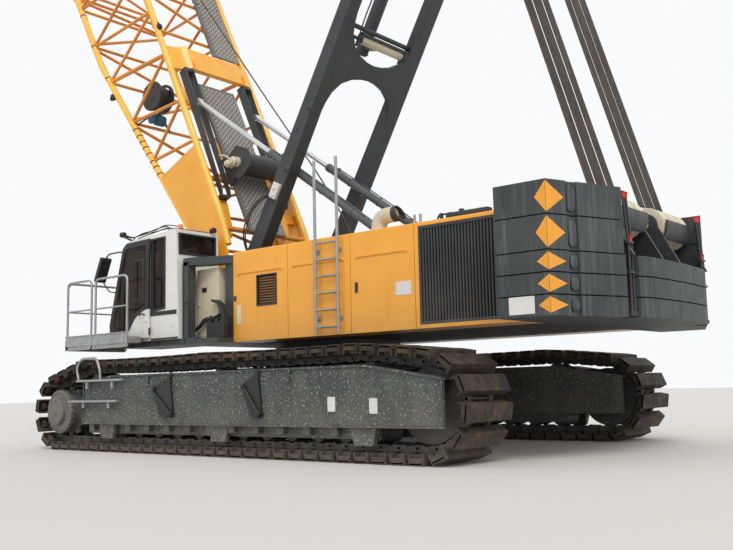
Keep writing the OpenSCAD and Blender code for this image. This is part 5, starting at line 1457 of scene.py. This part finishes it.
def addBackstops():
    bm = bmesh.new()
    y = backstop["y"]
    addTurned(bm, (0, y, 0), "x", [(90, 50), (96, 66), (250, 73), (2900, 73), (2904, 80), (2975, 80),
                                   (2985, 60), (2985, 46)], 28)
    addTurned(bm, (0, y, 0), "y", [(-55, 31), (-55, 66), (-50, 70), (50, 70), (55, 66), (55, 31)], 28)
    addBox(bm, (30, y - 50, -52), (130, y + 50, 52))
    addTube(bm, [(420, y + 50, 66), (900, y + 44, 84), (2500, y + 44, 84), (2860, y + 30, 76)], 22, 8, 80)
    for s in (700, 1500, 2300):
        addTurned(bm, (0, y, 0), "x", [(s, 73), (s, 80), (s + 34, 80), (s + 34, 73)], 24)
    addTurned(bm, (2700, y, 80), "z", [(-8, 24), (30, 20), (34, 12)], 12)
    mirrorAcross(bm)
    finishPiece("backstopBarrels", bm, "barrels", "barrelPaint", backstopFrame,
                replaced=("backstop_barrels",))
    bm = bmesh.new()
    addTurned(bm, (0, y, 0), "x", [(1931, 40), (1931, 45), (5250, 45), (5290, 45)], 24)
    addTurned(bm, (backstop["rodEye"], y, 0), "y", [(-60, 40), (-60, 56), (-54, 60), (54, 60), (60, 56),
                                                    (60, 40)], 24)
    mirrorAcross(bm)
    finishPiece("backstopRods", bm, "rods", "chromeRod", backstopFrame,
                replaced=("backstop_rods",))


strands = {
    "lower": {"span": (310, 4800), "thick": 32},
    "middle": {"span": (1400, 6200), "thick": 29},
    "upper": {"span": (2578, 7378), "thick": 26},
    "pitch": 58,
}


def addRopes():
    for name in ("lower", "middle", "upper"):
        start, end = strands[name]["span"]
        bm = bmesh.new()
        for low, high in ropeBands:
            count = round((high - low) / strands["pitch"])
            gap = (high - low - 64) / max(count - 1, 1)
            strand = bmesh.new()
            addTube(strand, [(start, 0, 0), (end, 0, 0)], strands[name]["thick"], 8)
            grow(bm, rowOfCopies, strand, count, "ropeSteel", start=(0, low + 32, 0), step=(0, gap, 0))
        mirrorAcross(bm)
        finishPiece("ropeStrands_" + name, bm, "ropes_" + name, "ropeSteel", ropeFrame,
                    replaced=("luffing_ropes_" + name,))


addMast()
addMastFittings()
addBackstops()
addRopes()
print("stage: mast and ropes")

# cab: the shell and glass keep their meshes, the rest is made here

cab = {"outer": 2150, "doorY": 2162, "roofRear": (1660, 3640), "roofFront": (2990, 3570),
       "guard": (2150, 2950)}
addBevel(nodes["cab_shell"], 9)
for slot in nodes["cab_shell"].material_slots:
    slot.material = paints["cabPaint"]
whiteCurve = [(2930, 1955), (2885, 1978), (2840, 2018), (2795, 2075), (2745, 2140), (2685, 2200),
              (2610, 2252), (2510, 2300), (2420, 2328), (2330, 2340)]
lamp = {"x": 3306, "y": 2060, "z": 3742}
cableRuns = (
    (18, ((1720, 1900, 3655), (1880, 1990, 3740), (2120, 2040, 3776), (2380, 2010, 3716), (2700, 2050, 3706),
          (2990, 2040, 3640), (3180, 2060, 3710))),
    (16, ((1700, 1420, 3660), (2100, 1900, 3740), (2600, 1990, 3700), (3000, 2030, 3660),
          (3160, 2062, 3720))),
)


def roofHeight(x):
    (x0, z0), (x1, z1) = cab["roofRear"], cab["roofFront"]
    return z0 + (z1 - z0) * (x - x0) / (x1 - x0)


def addDoor():
    y = cab["doorY"]
    bm = bmesh.new()
    addPrism(bm, [(2330, 1850), (3250, 1850), (3335, 1930), *whiteCurve], y, y + 42)
    roundedBox(bm, (2352, y + 38, 2120), (2480, y + 50, 2172), 12)
    finishPiece("doorSkin", bm, "door", "cabPaint", bevel=8, replaced=("cab_door",))
    bm = bmesh.new()
    rim = [(3335, 1930), (3420, 2010), (3440, 2120), (3070, 3450), (2960, 3530), (2330, 3545),
           *reversed(whiteCurve)]
    pane = [(2408, 2410), (2560, 2352), (2680, 2288), (2780, 2200), (2860, 2090), (2915, 2030), (2960, 2010),
            (3280, 2010), (3340, 2118), (3000, 3385), (2926, 3432), (2408, 3446)]
    addPrism(bm, rim, y + 1, y + 41, holes=(pane,))
    slider = [(2470, 2520), (2880, 2490), (2900, 2510), (2760, 3180), (2730, 3210), (2470, 3225)]
    inset = [(2500, 2550), (2862, 2522), (2734, 3156), (2716, 3180), (2500, 3195)]
    addPrism(bm, slider, y + 6, y + 34, holes=(inset,))
    addBox(bm, (2640, y + 8, 2530), (2668, y + 32, 3200))
    addTube(bm, [(2430, y + 44, 2240), (2430, y + 84, 2260), (2560, y + 84, 2260), (2560, y + 44, 2240)], 24,
            10, 20)
    for z in (1960, 3420):
        addTurned(bm, (2322, y + 20, z), "z", [(-60, 16), (60, 16)], 12)
    finishPiece("doorFrame", bm, "door", "trimPlastic", bevel=4)


def addCabTrim():
    bm = bmesh.new()
    y = cab["outer"]
    addPrism(bm, [(1930, 2315), (2330, 2275), (2330, 3540), (1930, 3548)], y - 30, y + 8,
             holes=([(1972, 2355), (2262, 2328), (2262, 3505), (1972, 3515)],))
    addBox(bm, (1640, y - 2, 2215), (2330, y + 9, 2285))
    addPrism(bm, [(1302, 3212), (2108, 3212), (2108, 3578), (1302, 3578)], 1628, 1664, "x",
             holes=([(1336, 3246), (2074, 3246), (2074, 3544), (1336, 3544)],))
    for low, high in ((1304, 1330), (2062, 2090)):
        addPrism(bm, [(3462, 2060), (3506, 2060), (3116, 3476), (3072, 3476)], low, high)
    # wiper and its blade
    addTube(bm, [(3500, 1500, 2110), (3470, 1560, 2300), (3330, 1760, 2790)], 22, 8)
    addTube(bm, [(3455, 1500, 2290), (3270, 1900, 2960)], 14, 6)
    # mirror on its arm, with a second stay
    addTube(bm, [(3125, 2146, 3400), (3125, 2215, 3400), (3290, 2330, 3370), (3385, 2340, 3280)], 26, 12, 40)
    addTube(bm, [(3330, 2146, 2700), (3420, 2230, 2720), (3500, 2330, 2930)], 22, 10, 40)
    addPrism(bm, [(3335, 3270), (3340, 3290), (3352, 3305), (3388, 3315), (3402, 3300), (3575, 2930),
                  (3572, 2908), (3565, 2895), (3530, 2882), (3507, 2900)], 2240, 2440)
    # roof guard and its cables
    (x0, x1), rise = cab["guard"], 40
    z0, z1 = roofHeight(x0), roofHeight(x1)
    ends = ((x0, z0), (x1, z1), (x1, z1 + rise), (x0, z0 + rise))
    for gy in (1390, 1960):
        addPrism(bm, ends, gy, gy + 40)
    bar = bmesh.new()
    addTube(bar, [(0, 1392, 0), (0, 1998, 0)], 20, 8)
    grow(bm, rowOfCopies, bar, 11, "trimPlastic", start=(2191, 0, roofHeight(2191) + 44), step=(74, 0, -3.9))
    for gy, rise in ((1960, 0), (2030, 16)):
        rail = ((1990, roofHeight(1990)), (2010, 3722 + rise), (2150, 3734 + rise), (2960, 3650 + rise),
                (3010, 3560))
        addTube(bm, [(x, gy, z) for x, z in rail], 20, 8, 60)
    for thick, path in cableRuns:
        addTube(bm, path, thick, 8, 120)
    # work lamps
    addPrism(bm, [(2880, roofHeight(2880)), (2960, roofHeight(2960)), (3255, 3695), (3215, 3715)], 2045,
             2075)
    housing = [(-100, 30), (-92, 44), (-16, 50), (-2, 50), (0, 44), (0, 10)]
    addTurned(bm, (lamp["x"], lamp["y"], lamp["z"]), "x", housing, 24)
    addPrism(bm, [(1668, roofHeight(1668)), (1730, roofHeight(1730)), (1730, 3668), (1668, 3668)], 1350,
             1390)
    addTurned(bm, (0, 1370, 3692), "x", [(1590, 10), (1590, 46), (1594, 50), (1608, 50), (1680, 44),
                                         (1688, 30)], 24)
    addPrism(bm, [(1665, roofHeight(1665)), (1735, roofHeight(1735)), (1735, 3655), (1665, 3655)], 1990,
             2050)
    # floor pad under the door and kick strip
    addBox(bm, (1600, y - 4, 1806), (2320, y + 6, 1836))
    finishPiece("cabTrim", bm, "superstructure", "trimPlastic", bevel=2.5,
                replaced=("cab_fittings",))
    bm = bmesh.new()
    addTurned(bm, (1700, 2020, 3654), "z", [(0, 46), (60, 44), (76, 36), (84, 16)], 24)
    finishPiece("beacon", bm, "superstructure", "beaconLens")
    bm = bmesh.new()
    roundedBox(bm, (1700, y - 1, 2010), (1790, y + 4, 2080), 8)
    addTurned(bm, (lamp["x"], lamp["y"], lamp["z"]), "x", [(-3, 38), (3, 38), (5, 20)], 20)
    finishPiece("cabLabels", bm, "superstructure", "plateWhite")
    bm = bmesh.new()
    roundedBox(bm, (2420, 2203, 1930), (2540, 2207, 2010), 8)
    finishPiece("doorLabel", bm, "door", "plateWhite")


cushions = (((2000, 1445, 2160), (2530, 1945, 2290)), ((1960, 1455, 2280), (2090, 1935, 2940)),
            ((1965, 1560, 2930), (2060, 1830, 3080)))
cushionCells = (6, 6, 3)
cushionPuff, backLean = 14, 0.12


def cushionPoint(low, high, share):
    # the seat swells upwards, the back and the headrest swell forwards and lean back
    u, v, w = share
    x, y, z = (a + (b - a) * t for a, b, t in zip(low, high, share))
    puff = cushionPuff * math.sin(math.pi * v) * (abs(math.sin(3 * math.pi * u)) * 0.5 + 0.5)
    if high[0] - low[0] > high[2] - low[2]:
        return x, y, z + (puff if w == 1 else 0)
    return x + (puff if u == 1 else 0) - (z - cushions[1][0][2]) * backLean, y, z


def addCushion(bm, low, high):
    # a box of small square faces, for the padding
    grid = {}
    for spot in itertools.product(*(range(n + 1) for n in cushionCells)):
        if any(i in (0, n) for i, n in zip(spot, cushionCells)):
            share = [i / n for i, n in zip(spot, cushionCells)]
            grid[spot] = bm.verts.new(cushionPoint(low, high, share))
    for across in range(3):
        first, second = (k for k in range(3) if k != across)
        for i, k in itertools.product(range(cushionCells[first]), range(cushionCells[second])):
            for end in (0, cushionCells[across]):
                spots = []
                for di, dk in ((0, 0), (1, 0), (1, 1), (0, 1)):
                    spot = [end, end, end]
                    spot[first], spot[second] = i + di, k + dk
                    spots.append(grid[tuple(spot)])
                bm.faces.new(spots)


def addSeat():
    bm = bmesh.new()
    for low, high in cushions:
        addCushion(bm, low, high)
    seat = finishPiece("seatCushions", bm, "superstructure", "seatCloth",
                       replaced=("cab_seat",), sharp=180)
    soft = seat.modifiers.new("softer", "SUBSURF")
    soft.levels = soft.render_levels = 2
    bm = bmesh.new()
    addBox(bm, (2080, 1520, 1862), (2440, 1870, 1900))
    addPrism(bm, [(2120, 1900), (2400, 1900), (2440, 2160), (2080, 2160)], 1560, 1830)
    for y in (1315, 1975):
        roundedBox(bm, (2050, y, 1862), (2600, y + 100, 2380), 30)
        roundedBox(bm, (2120, y - 4, 2380), (2560, y + 104, 2424), 20)
        addTube(bm, [(2500, y + 50, 2420), (2510, y + 50, 2500), (2500, y + 50, 2560)], 26, 10)
        addTurned(bm, (2500, y + 50, 2560), "z", [(-10, 20), (20, 34), (50, 26), (58, 10)], 14)
    roundedBox(bm, (2950, 1545, 1862), (3150, 1845, 2330), 20)
    addPrism(bm, [(2990, 2330), (3150, 2330), (3130, 2520), (3090, 2520)], 1500, 1890)
    finishPiece("controls", bm, "superstructure", "trimPlastic", bevel=4)


platform = {"z": 1880, "floors": ((3560, 1240, 4330, 2520, 1880), (2480, 2240, 3561, 2520, 1880),
                                  (3250, 1240, 3561, 2050, 1790)), "skirts": ((2480, 3500), (3560, 4330)),
            "railTop": 2920, "railMiddle": 2400, "railFoot": 1720,
            "rails": (((4300, 2490), (3560, 2490)), ((3440, 2490), (2520, 2490)),
                      ((4300, 1270), (4300, 2490)))}


def addPlatform():
    bm = bmesh.new()
    z = platform["z"]
    for x0, y0, x1, y1, top in platform["floors"]:
        addPrism(bm, rectangle(x0, y0, x1, y1), z - 110, top, "z", holes=(rectangle(x0, y0, x1, y1, 30),))
        addBox(bm, (x0 + 28, y0 + 28, z - 100), (x1 - 28, y1 - 28, z - 92))
        slat = bmesh.new()
        addBox(slat, (0, y0 + 20, top - 34), (6, y1 - 20, top - 2))
        count = int((x1 - x0 - 60) / 34)
        grow(bm, rowOfCopies, slat, count, "galvanisedSteel", start=(x0 + 36, 0, 0),
             step=((x1 - x0 - 80) / (count - 1), 0, 0))
        slat = bmesh.new()
        addBox(slat, (x0 + 20, 0, top - 14), (x1 - 20, 5, top - 3))
        count = max(int((y1 - y0 - 60) / 90), 2)
        grow(bm, rowOfCopies, slat, count, "galvanisedSteel", start=(0, y0 + 50, 0),
             step=(0, (y1 - y0 - 100) / (count - 1), 0))
    for x0, x1 in platform["skirts"]:
        addPrism(bm, rectangle(x0, 1700, x1, 1960), 2500, 2506)
        addBox(bm, (x0, 2504, 1822), (x1, 2514, 1834))
        for low in (1700, 1944):
            addBox(bm, (x0, 2504, low), (x1, 2520, low + 16))
    addBox(bm, (4312, 1240, 1700), (4318, 2512, 1960))
    for low in (1700, 1944):
        addBox(bm, (4314, 1240, low), (4330, 2520, low + 16))
    top, middle, foot = platform["railTop"], platform["railMiddle"], platform["railFoot"]
    for (ax, ay), (bx, by) in platform["rails"]:
        addTube(bm, [(ax, ay, foot), (ax, ay, top), (bx, by, top), (bx, by, foot)], 42, 14, 110)
        addTube(bm, [(ax, ay, middle), (bx, by, middle)], 30, 12)
        for px, py in ((ax, ay), (bx, by)):
            roundedBox(bm, (px - 30, py - 8 if ay == by else py - 30, 1720), (px + 30, py + 24, 1800), 8)
            for bz in (1740, 1780):
                addTurned(bm, (px, py + 24, bz), "y", [(-2, 9), (6, 9), (8, 6)], 6)
    finishPiece("platformRails", bm, "superstructure", "galvanisedSteel",
                replaced=("cab_platform",), bevel=1.5)


def addPortal():
    bm = bmesh.new()
    addBox(bm, (1250, 1240, 1707), (3250, 2090, 1800))
    addBox(bm, (700, 1240, 1707), (1251, 2080, 1780))
    addBox(bm, (1420, 1930, 1779), (1560, 2080, 3060))
    addBox(bm, (700, 1560, 1779), (900, 1740, 3060))
    for x in (1420, 1546):
        addBox(bm, (x, 2078, 1800), (x + 14, 2092, 3040))
    addPrism(bm, [(700, 1560), (900, 1560), (1560, 1880), (1560, 2080), (1420, 2080), (700, 1740)], 3000,
             3130, "z")
    for x in (1500, 2200, 2900):
        addBox(bm, (x, 2088, 1715), (x + 160, 2104, 1790))
    addTube(bm, [(1490, 2092, 2370), (1490, 2120, 2380), (1400, 2120, 2390), (1400, 2092, 2400)], 18, 8, 10)
    finishPiece("cabPortal", bm, "superstructure", "portalPaint", bevel=7,
                replaced=("cab_bracket",))
    bm = bmesh.new()
    roundedBox(bm, (1000, 1250, 1779), (1540, 1800, 2950), 16, "z")
    addPrism(bm, rectangle(1016, 1830, 1524, 2900), 1798, 1808)
    addTurned(bm, (1470, 1808, 2360), "y", [(-2, 24), (14, 24), (18, 14)], 16)
    for z in (1960, 2780):
        addTurned(bm, (1014, 1806, z), "z", [(-50, 11), (50, 11)], 10)
    finishPiece("creamCabinet", bm, "superstructure", "creamPaint", bevel=3)
    bm = bmesh.new()
    roundedBox(bm, (1280, 1808, 2560), (1400, 1814, 2640), 6)
    arch = [(740, 1790), (740, 2040), (760, 2200), (830, 2330), (930, 2400), (1060, 2420), (1060, 2380),
            (940, 2350), (870, 2270), (820, 2160), (800, 2030), (800, 1790)]
    addPrism(bm, arch, 1815, 1910)
    addBox(bm, (790, 1815, 1790), (1180, 1905, 2040))
    for dy, dz in ((0, 0), (15, 30), (30, -20), (45, 40)):
        path = ((760, 1835, 2180 + dz), (980, 1840, 2080 + dz), (1250, 1845, 2120 - dz), (1400, 1850, 1980),
                (1700, 1855, 1850))
        addTube(bm, [(x, y + dy, z) for x, y, z in path], 40, 10, 160)
    for x in (960, 1120):
        addTurned(bm, (x, 1860, 2040), "z", [(0, 40), (50, 40), (60, 30), (110, 30), (116, 18)], 16)
    finishPiece("portalHoses", bm, "superstructure", "trimPlastic", bevel=3)


def addWinchMotors():
    bm = bmesh.new()
    profile = ((596, 1), (640, 1), (648, 0.8), (690, 0.8), (696, 0.95), (730, 0.95), (744, 0.7), (770, 0.6),
               (776, 0.3))
    for s, z, r in ((2550, 760, 92), (2590, 622.5, 74)):
        addTurned(bm, (s, 0, z), "y", [(out, r * share) for out, share in profile], 24)
    addTube(bm, [(2640, 700, 700), (2760, 740, 640), (2860, 720, 500)], 34, 10, 60)
    finishPiece("winchMotors", bm, "boom", "creamPaint", boomFrame, bevel=2)


addDoor()
addCabTrim()
addSeat()
addPlatform()
addPortal()
addWinchMotors()
print("stage: cab")

# hoist rope over the deck, and the cable along the mast

hoistRope = {"path": ((3590, 0, 8910), (1320, 0, 5900), (110, 0, 4350), (-730, 0, 2880)), "thick": 26,
             "bend": 900}
mastCable = ((7300, -1082, -150), (5200, -1084, -140), (3300, -1082, -160), (1500, -1078, -158))


def addHoistRope():
    bm = bmesh.new()
    addTube(bm, hoistRope["path"], hoistRope["thick"], 10, hoistRope["bend"])
    rope = finishPiece("hoistRope", bm, None, "ropeSteel")
    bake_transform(rope)
    bm = bmesh.new()
    addTube(bm, mastCable, 16, 8, 200)
    finishPiece("mastCable", bm, "mast_frame", "trimPlastic", mastFrame)


addHoistRope()
print("stage: ropes")

# finish

print("stage: finished")
